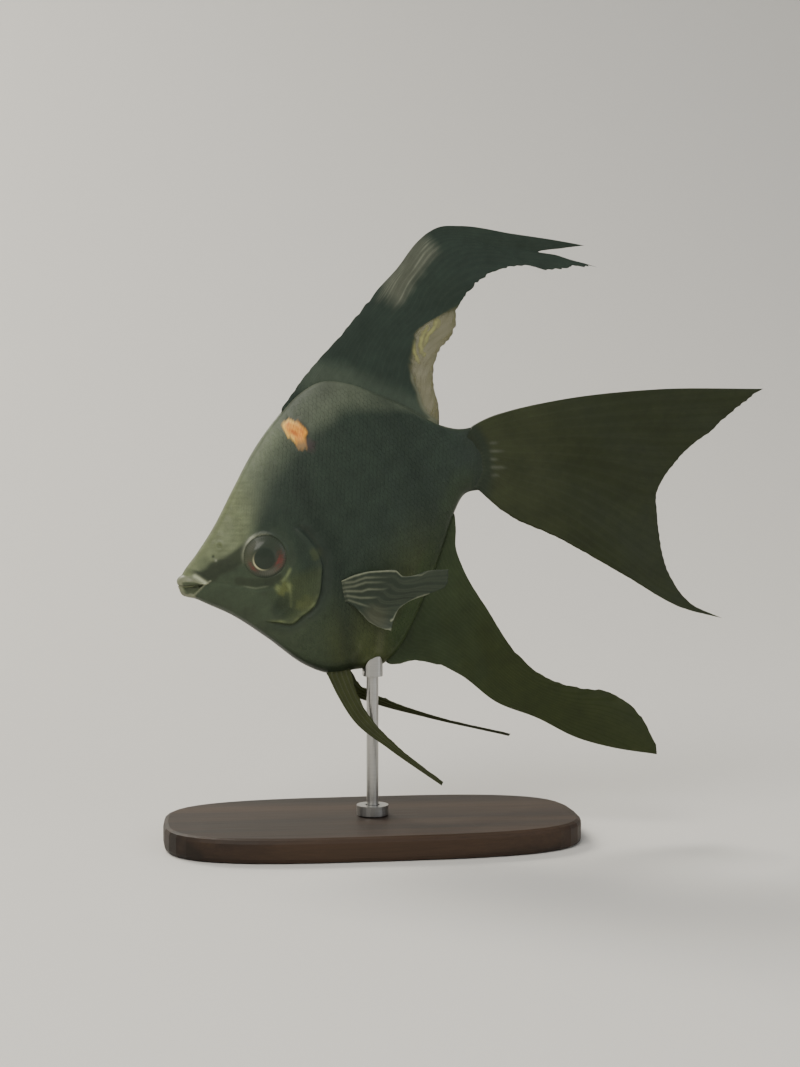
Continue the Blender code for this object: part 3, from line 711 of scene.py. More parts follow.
def markings(x, z, side):
    # the fish's colour at places of its side view, with its painted highlights, sheen and shade; side is
    # below 0 on the left flank
    depth, pale = depthShare(x, z), paleness(x, z)
    colour = painted(plain(tones["flank"], x), trunkCoats(x, z, depth, pale))
    furrow = ripple(0.12 * (x - 0.36 * z), z + 0.36 * x, 1.1, 46)
    furrow = furrow + 0.6 * ripple(0.16 * x, z + 0.3 * x, 0.55, 47)
    furrow = furrow * pale * ease(28.0, 21.0, x) * ease(8.0, 12.0, x)
    colour = colour * (1 + 0.3 * furrow)[..., None]
    for coats in (headCoats(x, z), gillCoats(x, z, depth), patchCoats(x, z, side), edgeCoats(x, z, depth)):
        colour = painted(colour, coats)
    mottle = 1 + 0.16 * ripple(x, z, 7.0, 41) + 0.1 * ripple(x, z, 2.3, 43)
    return colour * mottle[..., None]


def shader(name, base, roughness, metallic=0.0, specular=0.35, coat=0.0):
    # a Principled material; base is a colour, and the numbers stay on the shader's own sockets
    made = bpy.data.materials.new(name)
    made.use_nodes = True
    principled = made.node_tree.nodes["Principled BSDF"]
    principled.inputs["Base Color"].default_value = (*base, 1.0)
    principled.inputs["Roughness"].default_value = roughness
    principled.inputs["Metallic"].default_value = metallic
    principled.inputs["Specular IOR Level"].default_value = specular
    principled.inputs["Coat Weight"].default_value = coat
    principled.inputs["Coat Roughness"].default_value = 0.12
    return made, made.node_tree, principled


def node(tree, kind, **settings):
    # a new shader node with its sockets or its own settings filled in by name
    made = tree.nodes.new(kind)
    for key, value in settings.items():
        if key in made.inputs:
            made.inputs[key].default_value = value
        else:
            setattr(made, key, value)
    return made


def objectPlace(tree):
    return node(tree, "ShaderNodeTexCoord").outputs["Object"]


def noise(tree, source, scale, detail=4.0, roughness=0.55, stretch=None):
    # fractal noise on object coordinates (metres), optionally stretched along the axes
    made = node(tree, "ShaderNodeTexNoise", Scale=scale, Detail=detail, Roughness=roughness)
    if stretch:
        mapping = node(tree, "ShaderNodeMapping", Scale=stretch)
        tree.links.new(source, mapping.inputs["Vector"])
        source = mapping.outputs["Vector"]
    tree.links.new(source, made.inputs["Vector"])
    return made.outputs["Fac"]


def ranged(tree, source, low, high):
    # maps 0..1 to low..high
    made = node(tree, "ShaderNodeMapRange", **{"To Min": low, "To Max": high})
    tree.links.new(source, made.inputs["Value"])
    return made.outputs["Result"]


def multiplied(tree, colour, factor):
    # a colour times a grey value
    made = node(tree, "ShaderNodeVectorMath", operation="SCALE")
    tree.links.new(colour, made.inputs[0])
    tree.links.new(factor, made.inputs["Scale"])
    return made.outputs["Vector"]


def bumped(tree, principled, height, strength, distance):
    # raises the surface by a height between 0 and 1 times the distance, in metres
    made = node(tree, "ShaderNodeBump", Strength=strength, Distance=distance)
    tree.links.new(height, made.inputs["Height"])
    tree.links.new(made.outputs["Normal"], principled.inputs["Normal"])


def summed(tree, first, second, share):
    # the first value plus a share of the second
    made = node(tree, "ShaderNodeMath", operation="MULTIPLY_ADD")
    tree.links.new(second, made.inputs[0])
    made.inputs[1].default_value = share
    tree.links.new(first, made.inputs[2])
    return made.outputs["Value"]


grains = {   # fine speckle and broad cloud for each metre, how they shade, roughen and pit the surface
    "skin": {"speckle": 2600.0, "cloud": 420.0, "shade": (0.62, 1.1), "smoother": 0.1, "clouded": 0.6,
             "depth": 0.00012},
    "web": {"speckle": 3000.0, "cloud": 260.0, "shade": (0.66, 1.06), "smoother": 0.08, "clouded": 0.8,
            "depth": 0.0001},
}


def grainedMaterial(name, kind, base, roughness, specular, coat, strength):
    # pigment from the markings attribute, broken by fine speckle, with a pitted, slightly wet surface
    grain = grains[kind]
    made, tree, principled = shader(name, base, roughness, specular=specular, coat=coat)
    place = objectPlace(tree)
    pigment = node(tree, "ShaderNodeAttribute", attribute_name="markings")
    speckle = noise(tree, place, grain["speckle"], 3.0, 0.7)
    cloud = noise(tree, place, grain["cloud"], 5.0, 0.6)
    both = summed(tree, ranged(tree, speckle, *grain["shade"]), ranged(tree, cloud, 0.0, 0.34), 0.9)
    tree.links.new(multiplied(tree, pigment.outputs["Color"], both), principled.inputs["Base Color"])
    rough = ranged(tree, cloud, roughness - grain["smoother"], roughness + 0.12)
    tree.links.new(rough, principled.inputs["Roughness"])
    bumped(tree, principled, summed(tree, speckle, cloud, grain["clouded"]), strength, grain["depth"])
    return made, tree, principled


def lipCoats(x, z):
    # pale lips; the pit and folds behind them, darkened as painted shade; a painted highlight streak on the
    # upper lip; and the inside of the mouth, whose pale throat is partly painted light
    lips, upper = skinGrid["lips"], skinGrid["upper"]
    alongLip = 1 + 0.14 * ripple(x, z * 2.2, 1.6, 51)
    ridge = nearLine(x, z, marks["lipRidge"])[0]
    behind, share = nearLine(x, z, marks["behindLip"])
    streak = nearLine(x, z, marks["lipHighlight"])[0]
    under = ease(0.15, -0.15, z - line(marks["underLip"], x)) * ease(0.2, 0.8, x) * ease(4.9, 4.4, x) * upper
    return (("lip", lips * 0.85 * np.clip(alongLip, 0.0, 1.2)),
            # painted shade: the pit behind the lower lip is darkened with the mouth's inside tone
            ("mouthInside", skinGrid["pit"] * (1 - lips)),
            ("lip", bump(ridge, 0.0, 0.24) * 0.8),
            # painted shade in the groove behind the upper lip
            ("snoutStripe", ease(0.9, 0.3, behind) * (1 - lips) * (0.25 + 0.55 * ease(0.1, 0.6, share))),
            # painted highlight streak along the upper lip
            ("lipHighlight", bump(streak, 0.0, 0.5) * upper * 0.85),
            ("mouthInside", under * ease(4.0, 3.0, skinGrid["along"])),
            # the throat: partly its pale lining, partly painted light that stands in for light through the
            # lips
            ("throat", skinGrid["inside"]))


def makeSkin():
    # the grid as rings of faces, closed by a fan in the throat and by faces across the tail's end
    grid, rows = skinGrid["grid"], skin["rows"]
    columns, around = grid.shape[:2]
    x, z = grid[..., 0], grid[..., 2]
    sides = np.ones((columns, around))
    sides[:, 1:rows] = -1.0
    colour = painted(markings(x, z, sides), lipCoats(x, z))
    points = toRoom(grid).reshape(-1, 3)
    points = np.concatenate((points, points[:around].mean(axis=0)[None]))
    end = (columns - 1) * around
    j = np.arange(1, rows - 1)
    across = np.stack((end + j, end + around - j, end + around - j - 1, end + j + 1), axis=-1)
    tips = np.array(((end, end + around - 1, end + 1), (end + rows - 1, end + rows + 1, end + rows)))
    faces = [ringFaces(columns, around), across, tips, fanFaces(len(points) - 1, 0, around)]
    material, _, _ = grainedMaterial("fishSkin", "skin", tones["flank"], 0.44, 0.24, 0.07, 0.5)
    made = makeMesh("fish_skin", points, faces, material,
                    {"markings": np.concatenate((colour.reshape(-1, 3), colour[0, :1]))})
    return settle(made, "fish_skin", "head", "upper_jaw", "lower_jaw", "gill_cover_left",
                  "gill_cover_right", "trunk", "tail_stalk")


fishSkin = makeSkin()
print("skin made:", len(fishSkin.data.polygons), "faces")


# the fins: each lies between a front and a rear edge that start at its root, and a far edge; thick is
# half the thickness at the root and at the far edge, ridge the rays' height at both
plainFront = {"tips": (), "steps": 0.0}      # for fins whose front edge has no steps between spines
pelvicShape = {
    "far": (), "root": (26.0, 31.8), "grid": (60, 90), "rays": 5, "sweep": (0.1, 0.3), "spines": 0.15,
    "apart": 1.2, "flare": math.radians(14.0), "wave": 0.12, "thick": (0.32, 0.14),
    "ridge": (0.14, 0.1), "ragged": (0.12, 0.0), **plainFront,
}
fins = {
    "dorsal": {
        "front": ((45.5, 36.2), (57.0, 42.7), (70.0, 50.8), (77.0, 54.5), (84.5, 59.4), (87.5, 60.6),
                  (91.0, 61.1), (96.0, 59.7), (108.0, 53.6), (117.0, 49.0), (124.9, 44.7)),
        "rear": ((75.6, 19.4), (76.3, 24.5), (79.5, 30.5), (86.0, 35.2), (88.5, 39.8), (92.5, 42.8),
                 (99.0, 45.3), (104.5, 45.4), (109.9, 44.0), (113.6, 41.6), (117.6, 40.5),
                 (121.3, 39.9), (127.2, 37.8)),
        "far": ((119.6, 45.8), (113.2, 47.0), (117.2, 44.8), (120.2, 42.6), (124.2, 40.0)),
        "root": (37.0, 74.2), "grid": (240, 160), "rays": 34, "sweep": (0.52, 0.5), "spines": 0.3,
        "sway": 2.5, "wave": 0.35, "thick": (0.5, 0.1), "ridge": (0.03, 0.02), "rayPale": 0.06,
        "tips": (38.0, 40.6, 43.0, 45.4, 48.0, 51.2, 55.7, 59.6, 63.0, 66.5, 70.5),
        "steps": 1.05, "ragged": (0.35, 0.25),
    },
    "anal": {
        "front": ((41.5, -37.1), (43.0, -37.8), (45.6, -38.0), (51.6, -40.8), (57.0, -45.6),
                  (64.0, -56.2), (72.0, -63.3), (80.0, -71.8), (88.0, -77.6), (98.0, -83.2)),
        "rear": ((69.0, -10.2), (67.5, -14.0), (67.3, -20.0), (69.7, -33.0), (72.8, -45.5),
                 (77.5, -53.7), (84.5, -59.4), (92.0, -63.6), (97.2, -71.0), (98.6, -80.5)),
        "far": (), "root": (41.0, 70.4), "grid": (264, 96), "rays": 32, "sweep": (0.4, 0.5),
        "spines": 0.18, "sway": -2.0, "wave": 0.35, "thick": (0.5, 0.1), "ridge": (0.03, 0.02),
        "rayPale": 0.1, "tips": (43.5, 46.5, 49.5, 53.0, 57.0), "steps": 0.35, "ragged": (0.3, 0.25),
    },
    "caudal": {
        "front": ((83.4, 11.9), (87.0, 12.2), (92.0, 11.95), (105.0, 10.2), (130.0, 4.2), (157.8, -5.4)),
        "rear": ((82.0, -11.8), (93.0, -22.8), (107.0, -38.8), (118.0, -51.2), (128.0, -58.1)),
        "far": ((143.0, -10.5), (131.0, -14.8), (122.5, -21.0), (119.8, -30.0), (118.3, -40.0),
                (120.8, -50.5)),
        "grid": (300, 84), "rays": 17, "sweep": (0.12, 0.12), "spines": 0.0, "sway": 4.0,
        "wave": 0.45, "thick": (0.62, 0.09), "ridge": (0.035, 0.025), "rayPale": 0.05,
        "ragged": (0.2, 1.5), **plainFront,
    },
    "pectoral": {
        "front": ((40.2, -12.4), (43.7, -12.7), (47.1, -13.6), (50.0, -14.6), (50.9, -16.3),
                  (53.4, -17.1), (56.9, -17.1), (61.6, -18.4)),
        "rear": ((38.3, -21.1), (39.5, -24.2), (41.3, -26.4), (43.8, -28.2)),
        "far": ((60.2, -21.7), (55.5, -22.6), (50.3, -22.9), (47.5, -23.9), (45.8, -25.6)),
        "root": ((37.6, -12.7), (36.6, -18.2)), "grid": (180, 110), "rays": 7, "sweep": (0.1, 0.1),
        "spines": 0.0, "flare": math.radians(20.0), "wave": 0.2, "thick": (0.3, 0.06),
        "ridge": (0.0, 0.0), "ragged": (0.1, 0.35), "lobe": (41.5, -23.8), **plainFront,
        # its pale rays and rims: places along each, half width and strength
        "lines": ((((37.6, -12.7), (40.2, -12.6), (43.7, -12.8), (47.1, -13.7), (50.0, -14.8),
                    (50.8, -16.3)), 0.3, 1.0),
                  (((51.0, -16.4), (53.4, -17.1), (55.1, -17.6), (57.0, -17.2), (61.0, -18.4)), 0.26, 0.55),
                  (((37.7, -13.5), (39.7, -14.0), (42.6, -13.9), (45.7, -14.9), (50.4, -16.4)), 0.34, 0.5),
                  (((37.4, -14.6), (39.4, -15.0), (42.2, -15.0), (45.3, -16.0), (48.0, -17.0)), 0.36, 0.5),
                  (((37.2, -15.5), (40.8, -16.8), (42.2, -16.8), (45.5, -17.9), (47.8, -18.1)), 0.32, 0.6),
                  (((37.1, -16.7), (39.8, -18.2), (42.3, -19.0), (45.1, -19.7)), 0.32, 0.55),
                  (((37.0, -17.8), (39.3, -19.6), (42.0, -21.6)), 0.3, 0.45),
                  (((55.3, -22.6), (52.6, -22.5), (48.5, -23.3), (46.5, -24.5), (45.3, -25.7)), 0.24, 0.75),
                  (((38.3, -21.1), (39.5, -24.2), (41.3, -26.4), (43.1, -28.2)), 0.28, 0.5),
                  (((40.6, -26.2), (42.3, -27.3), (44.6, -27.9)), 0.42, 0.8),
                  (((44.8, -25.8), (45.4, -25.6)), 0.3, 1.0)),
    },
    "pelvic_left": {
        "front": ((26.8, -39.5), (28.2, -46.5), (33.7, -55.8), (42.6, -68.4)),
        "rear": ((31.6, -40.5), (32.4, -46.5), (36.0, -55.5), (43.4, -67.8)), **pelvicShape,
    },
    "pelvic_right": {
        "front": ((28.6, -39.0), (34.0, -44.6), (46.5, -54.6), (65.9, -68.5)),
        "rear": ((33.4, -39.3), (39.3, -46.3), (48.5, -54.6), (66.4, -67.7)), **pelvicShape,
    },
    "clearance": 0.3,
    # behind this line (height, distance back) the dorsal's last rays have only a clear web
    "darkEdge": ((12.0, 75.5), (14.5, 74.0), (18.3, 71.9), (25.1, 71.3), (29.7, 71.8),
                 (35.7, 74.6), (39.3, 78.5), (41.5, 90.0)),
    # yellowish curled lines in that web, with their widths
    "curls": ((((79.3, 38.6), (77.3, 36.6), (76.2, 34.6), (76.1, 32.6)), 0.5),
              (((82.4, 38.5), (80.3, 37.5), (78.6, 36.5), (77.3, 34.9)), 0.45),
              (((82.4, 39.2), (81.6, 38.4)), 0.7), (((74.9, 36.2), (74.3, 34.0), (74.2, 31.3)), 0.4)),
    # the pale streaks on the dorsal's front, and how far the shoulder's grey, partly painted sheen, runs up
    # into the fin
    "streaks": ((71.0, 46.2), (75.0, 50.0), (80.0, 53.8), (84.6, 56.8), (89.5, 59.2)),
    "greyRoot": ((42.0, 0.1), (48.0, 0.9), (56.0, 0.8), (64.0, 0.5), (72.0, 0.7)),
    # pale dashes at the caudal's root: the first one's place, the step to the next, tilt and lengths
    "dashes": {"first": (84.4, 6.1), "step": (0.6, 1.95), "tilt": 0.35, "lengths": (2.6, 4.4, 2.4, 5.0, 2.6)},
}
finTones = {
    "dorsal": (0.017, 0.028, 0.020), "anal": (0.019, 0.026, 0.005), "caudal": (0.0165, 0.0215, 0.0065),
    "pelvic": (0.027, 0.032, 0.007), "pectoral": (0.021, 0.030, 0.020), "lobe": (0.042, 0.045, 0.027),
    "streaked": (0.094, 0.100, 0.072), "streak": (0.190, 0.200, 0.150),
    "dorsalRoot": (0.060, 0.078, 0.055), "analRoot": (0.024, 0.037, 0.014),
    "caudalRoot": (0.027, 0.033, 0.0125), "ray": (0.060, 0.066, 0.045),
    "pectoralRay": (0.150, 0.162, 0.110), "clear": (0.105, 0.100, 0.042), "curl": (0.270, 0.270, 0.105),
    "tailEnd": tones["tailEnd"], "rimPale": tones["rimPale"],
}


def edgeAt(points, t):
    # a smooth curve through the points, read at shares t of its length
    points = np.array(points, dtype=float)
    length = np.concatenate(([0.0], np.cumsum(np.hypot(*np.diff(points, axis=0).T))))
    return smooth(np.column_stack((length / length[-1], points)), t)


def finPlace(shape, rootAt, u, v):
    # straight blends between front and rear edge, eased onto the root at v = 0 and the far edge at v = 1
    root = rootAt(u)
    first, last = rootAt(np.array(0.0)), rootAt(np.array(1.0))
    front = edgeAt((first, *shape["front"]), v)
    rear = edgeAt((last, *shape["rear"]), v)
    far = edgeAt((shape["front"][-1], *shape["far"], shape["rear"][-1]), u)
    u, v = u[..., None], v[..., None]
    ends = (1 - u) * np.array(shape["front"][-1]) + u * np.array(shape["rear"][-1])
    place = (1 - u) * front + u * rear
    place = place + (1 - v) ** 2 * (root - ((1 - u) * first + u * last)) + v ** 2 * (far - ends)
    return place[..., 0], place[..., 1]


def rays(shape, u, v):
    # ridges along the rays: lines where u, swept to the nearer edge, is a whole number of steps;
    # soft rays fork twice on their way out, spines don't
    swept = u + shape["sweep"][0] * v * (1 - u) ** 3 - shape["sweep"][1] * v * u ** 3
    steps = shape["rays"] * swept
    off = np.abs(steps - np.round(steps))
    soft = ease(shape["spines"] - 0.02, shape["spines"] + 0.04, swept)
    off = np.abs(off - 0.21 * soft * ease(0.2, 0.95, v))
    off = np.abs(off - 0.09 * soft * ease(0.5, 1.0, v))
    return bump(off, 0.0, 0.15 - 0.05 * soft * v)


def bodyRoot(edge, ends, lift):
    # a fin's root along the back or belly, a little clear of it along its slope's normal, but sunk
    # into it where the fin begins
    def rootAt(u):
        x = ends[0] + (ends[1] - ends[0]) * u
        slope = line(edge, x + 0.5) - line(edge, x - 0.5)
        lead = 1 - 3.0 * (ease(0.05, 0.0, u) + ease(0.97, 1.0, u)) * (abs(lift) < 1.0)
        step = lift * lead / np.hypot(1.0, slope)
        return np.stack((x - slope * step, line(edge, x) + step), axis=-1)
    return rootAt


def tailRoot(u):
    # the caudal fin's root, round the end of the stalk from top to bottom
    share = 1.0 - u
    x = line(body["tailEdge"], share) + fins["clearance"]
    low = line(body["belly"], x)
    return np.stack((x, low + share * (line(body["back"], x) - low)), axis=-1)


def straightRoot(ends):
    # a root along the straight line between two places
    def rootAt(u):
        return np.array(ends[0]) + (np.array(ends[1]) - np.array(ends[0])) * u[..., None]
    return rootAt


def spineNotches(shape, front, v):
    # how far the front edge steps in behind each spine's tip, eased out towards the next tip
    tips = np.interp(shape["tips"], front[:, 0], v[0]) if shape["tips"] else np.array((0.0, 1.0))
    spine = np.interp(v, tips, np.arange(len(tips)), left=0.0, right=len(tips) - 1.0)
    notch = shape["steps"] * (1 - spine % 1.0) ** 1.4 * ((spine > 0.0) & (spine < len(tips) - 1))
    return notch * (0.75 + 0.45 * np.sin(2.4 * np.floor(spine)))


def frayed(shape, u, v, length, across):
    # u and v with the rear edge torn and the far edge frayed, each by two seeded ripples
    tear = 0.5 + 0.5 * ripple(v * length, 0.0, 3.1, 61) + 0.5 * np.abs(ripple(v * length, v * 3.0, 1.1, 62))
    tear = tear * shape["ragged"][0] * 2 * ease(0.02, 0.12, v)
    fray = 0.5 + 0.5 * ripple(u * 40.0, 0.0, 4.3, 63) + 0.6 * np.abs(ripple(u * 40.0, u * 5.0, 1.6, 64))
    fray = fray * shape["ragged"][1] * ease(0.0, 0.03, u) * ease(1.0, 0.97, u)
    return np.clip(u - tear * u ** 8 / across, 0.0, 1.0), v * (1 - fray / length * v ** 6)


def finGrid(shape, rootAt):
    # the fin's places in the side view, its ray ridges and half its thickness on a grid
    columns, rows = shape["grid"]
    u = np.linspace(0.0, 1.0, columns)[:, None] + np.zeros((1, rows))
    v = np.linspace(0.0, 1.0, rows)[None, :] ** 1.1 + np.zeros((columns, 1))
    first, last = rootAt(np.array(0.0)), rootAt(np.array(1.0))
    front, rear = edgeAt((first, *shape["front"]), v[0]), edgeAt((last, *shape["rear"]), v[0])
    across = np.maximum(np.linalg.norm(front - rear, axis=-1), 1.5)[None, :]
    length = np.linalg.norm(np.diff(front, axis=0), axis=-1).sum()
    wornU, wornV = frayed(shape, u, v, length, across)
    x, z = finPlace(shape, rootAt, wornU, wornV)
    run = np.gradient(front, axis=0)
    inward = np.column_stack((run[:, 1], -run[:, 0])) / np.linalg.norm(run, axis=1)[:, None]
    inward = inward * np.sign(((rear - front) * inward).sum(axis=1))[:, None]
    notch = spineNotches(shape, front, v) * np.exp(-u * across / 1.6)
    x, z = x + notch * inward[None, :, 0], z + notch * inward[None, :, 1]
    ridge = rays(shape, wornU, wornV)
    (thick, thin), (high, low) = shape["thick"], shape["ridge"]
    half = thin + (thick - thin) * (1 - v) ** 2.2
    half = half + ridge * (high + (low - high) * v)
    rim = ease(0.0, 0.012, u) * ease(1.0, 0.988, u) * ease(1.0, 0.985, v)
    return {"u": wornU, "v": wornV, "x": x, "z": z, "ridge": ridge, "half": 0.04 + (half - 0.04) * rim}


def finSolid(name, place, y, sunk, colour, cover, material):
    # both faces of a fin, with one more row of places that sinks its root into the body
    x, y, z = (np.concatenate(pair, axis=1) for pair in zip(sunk, (place["x"], y, place["z"])))
    half, colour, cover = (np.concatenate((values[:, :1], values), axis=1)
                           for values in (place["half"], colour, cover))
    sheets = [toRoom(np.stack((x, y + sign * half, z), axis=-1)).reshape(-1, 3) for sign in (-1, 1)]
    return makeMesh(name, np.concatenate(sheets), [sheetFaces(*x.shape)], material,
                    {"markings": np.concatenate((colour.reshape(-1, 3),) * 2),
                     "cover": np.concatenate((cover.ravel(),) * 2)})


def finMaterial(name, roughness, seeThrough):
    # the cover attribute thins it where the web is clear
    made, tree, principled = grainedMaterial(name, "web", finTones["dorsal"], roughness, 0.2, 0.0, 0.4)
    if seeThrough:
        cover = node(tree, "ShaderNodeAttribute", attribute_name="cover")
        tree.links.new(cover.outputs["Fac"], principled.inputs["Alpha"])
    return made


def dorsalCoats(place):
    # pale streaks along the front, brightest on the rays, and the shoulder's grey at the root, part skin tone
    # and part painted sheen
    x, z, ridge = place["x"], place["z"], place["ridge"]
    streak, share = nearLine(x, z, fins["streaks"])
    near = ease(4.6, 1.4, streak + 1.0 * ripple(x, z, 5.0, 71)) * ease(1.0, 0.8, share)
    near = near * ease(-0.02, 0.26, share + 0.1 * ripple(x - z, 0.0, 3.4, 67)) * ease(0.01, 0.06, place["u"])
    fine = np.clip(0.5 + 1.0 * ripple(x - z, 0.0, 2.7, 70), 0.0, 1.0)
    above = z - line(body["back"], x) + 0.8 * ripple(x, z, 6.0, 68)
    return (("streaked", near * (0.86 - 0.26 * share)),
            ("streak", near * ridge * fine * 0.75),
            # the shoulder's grey, partly painted sheen, carried up into the fin
            ("dorsalRoot", ease(7.5, 0.4, above) * line(fins["greyRoot"], x) * 0.8))


def analCoats(place):
    # greener at the root
    return (("analRoot", ease(0.45, 0.02, place["v"] + 0.1 * ripple(place["x"], place["z"], 8.0, 69)) * 0.9),)


def caudalCoats(place):
    # olive inwards, dark at the stalk, and a ladder of pale dashes near the root
    x, z, dashes = place["x"], place["z"], fins["dashes"]
    coats = [("caudalRoot", ease(0.5, 0.1, place["v"]) * (0.8 + 0.4 * ripple(x, z, 12.0, 68))),
             ("tailEnd", ease(2.6, 0.2, x - x[:, :1]) * 0.8)]
    c, s = math.cos(dashes["tilt"]), math.sin(dashes["tilt"])
    for k, length in enumerate(dashes["lengths"]):
        back = x - (dashes["first"][0] - dashes["step"][0] * k)
        up = z - (dashes["first"][1] - dashes["step"][1] * k)
        run, off = back * c - up * s, back * s + up * c
        dash = bump(off + 0.15 * ripple(x, z, 2.0, 77), 0.0, 0.42)
        coats.append(("ray", dash * ease(-0.4, 0.5, run) * ease(length, 0.4 * length, run) * 0.85))
    return coats


def clearWeb(place):
    # the dorsal's clear last web: how fully it covers what lies behind, and its coats
    x, z = place["x"], place["z"]
    behind = x - line(fins["darkEdge"], z) + 0.5 * ripple(x, z, 4.0, 74)
    clear = ease(-0.9, 1.6, behind + 0.5 * ripple(x, z, 1.7, 79)) * ease(42.0, 39.0, z) * ease(10.0, 13.0, z)
    clear = clear * ease(108.0, 100.0, x)
    curl = 0.0
    for points, wide in fins["curls"]:
        away, share = nearLine(x, z, points)
        near = bump(away + 0.45 * ripple(x, z, 1.5, 75), 0.0, wide)
        curl = np.maximum(curl, near * (0.55 + 0.45 * np.sin(math.pi * share)))
    margin = ease(0.93, 0.985, place["u"])
    cloudy = 0.5 + 0.5 * ripple(x, z, 5.2, 76)
    cover = 1 - clear * (0.38 - 0.26 * curl - 0.06 * place["ridge"] - 0.1 * margin - 0.1 * cloudy)
    pale = bump(behind, 0.1, 0.35) * ease(30.0, 28.0, z) * ease(14.0, 17.0, z)
    return cover, (("clear", clear), ("curl", clear * curl * 0.85), ("rimPale", pale * 0.5))


def midlineTone(kind, place):
    # a dark web with the coats of its own fin, then faintly paler rays and a soft mottle
    x, z = place["x"], place["z"]
    coats = {"dorsal": dorsalCoats, "anal": analCoats, "caudal": caudalCoats}[kind]
    colour = painted(plain(finTones[kind], x), coats(place), finTones)
    colour = mixed(colour, finTones["ray"], place["ridge"] * fins[kind]["rayPale"])
    shade = 1 + 0.14 * ripple(x, z, 9.0, 72) + 0.1 * ripple(x, z, 2.8, 73)
    return colour * shade[..., None]


def makeMidlineFins():
    # each bends to one side by the square of the way out; its root is sunk into the body below it
    back, belly, gap = body["back"], body["belly"], fins["clearance"]
    dorsal, anal = fins["dorsal"]["root"], fins["anal"]["root"]

    def sunkTail(u):
        return (tailRoot(u) - (0.0, 3.3)) * (1.0, 0.7) + (-2.6, 3.3)

    roots = {"dorsal": (bodyRoot(back, dorsal, gap), bodyRoot(back, dorsal, -2.2)),
             "anal": (bodyRoot(belly, anal, -gap), bodyRoot(belly, anal, 2.2)),
             "caudal": (tailRoot, sunkTail)}
    for kind, (rootAt, sunkAt) in roots.items():
        shape = fins[kind]
        place = finGrid(shape, rootAt)
        x, z, v = place["x"], place["z"], place["v"]
        y = shape["sway"] * v ** 2 + shape["wave"] * ripple(x, z, 26.0, 80) * 3.0 * ease(0.05, 0.6, v)
        under = sunkAt(place["u"][:, :1])
        cover, colour = np.ones(x.shape), midlineTone(kind, place)
        if kind == "dorsal":
            cover, coats = clearWeb(place)
            colour = painted(colour, coats, finTones)
        made = finSolid(f"fish_{kind}_fin", place, y, (under[..., 0], np.zeros_like(y[:, :1]), under[..., 1]),
                        colour, cover, finMaterial(f"{kind}Web", 0.46, kind == "dorsal"))
        settle(made, "fish_fin", f"{kind}_fin")
        print(f"{kind} fin made:", len(made.data.polygons), "faces")


def makePectoral(side, sign):
    # flares from the flank by a fixed angle; pale strokes stand up a little along its rays and rims
    shape = fins["pectoral"]
    place = finGrid(shape, straightRoot(shape["root"]))
    x, z, u, v = (place[key] for key in ("x", "z", "u", "v"))
    foot = flank(x[:, :1], z[:, :1]) - 0.1
    reach = np.hypot(x - x[:, :1], z - z[:, :1])
    y = sign * (foot + reach * math.tan(shape["flare"]) + 0.5 * np.sin(5.0 * u + 1.0) * v
                + shape["wave"] * ripple(x, z, 9.0, 81))
    pale = np.zeros(x.shape)
    for points, wide, strength in shape["lines"]:
        away, share = nearLine(x, z, points)
        stroke = bump(away + 0.1 * ripple(x, z, 2.3, 84), 0.0, wide * (1 - 0.3 * share))
        stroke = stroke * (1 - (strength < 0.7) * ease(0.5, 1.0, share))
        pale = np.maximum(pale, strength * stroke)
    place["half"] = place["half"] + 0.07 * pale * ease(0.0, 0.05, u) * ease(1.0, 0.95, u)
    lobe = ease(4.5, 1.0, np.hypot(x - shape["lobe"][0], z - shape["lobe"][1]))
    rayed = np.maximum(pale, 0.1 * place["ridge"] * ease(0.3, 0.6, v))
    colour = painted(plain(finTones["pectoral"], x), (("lobe", lobe * 0.8), ("pectoralRay", rayed)), finTones)
    cover = np.clip(0.93 + 0.07 * np.maximum(pale, lobe), 0.0, 1.0)
    made = finSolid(f"fish_pectoral_{side}", place, y, (x[:, :1] - 1.6, y[:, :1] - sign * 1.3, z[:, :1]),
                    colour, cover, finMaterial(f"pectoralWeb_{side}", 0.34, True))
    settle(made, "fish_clear_fin", f"pectoral_fin_{side}")


def makePelvic(side, sign):
    # a thin, waving streamer under the belly, spread from its mate by a fixed angle
    shape = fins[f"pelvic_{side}"]
    place = finGrid(shape, bodyRoot(body["belly"], shape["root"], -fins["clearance"]))
    x, z, u, v, ridge = (place[key] for key in ("x", "z", "u", "v", "ridge"))
    reach = np.hypot(x - x[:, :1], z - z[:, :1])
    wave = shape["wave"] * ripple(x, z, 12.0, 82) * 4 * v
    y = sign * (shape["apart"] + reach * math.tan(shape["flare"]) + wave)
    under = bodyRoot(body["belly"], shape["root"], 2.5)(u[:, :1])
    colour = mixed(plain(finTones["pelvic"], x), finTones["ray"], ridge * 0.35)
    colour = colour * (1 + 0.15 * ripple(x, z, 5.0, 83))[..., None]
    made = finSolid(f"fish_pelvic_{side}", place, y, (under[..., 0], y[:, :1] * 0.8, under[..., 1]),
                    colour, np.ones(x.shape), finMaterial(f"pelvicWeb_{side}", 0.42, False))
    settle(made, "fish_fin", f"pelvic_fin_{side}")


makeMidlineFins()
for sideName, sideSign in bothSides:
    makePectoral(sideName, sideSign)
    makePelvic(sideName, sideSign)
print("paired fins made")


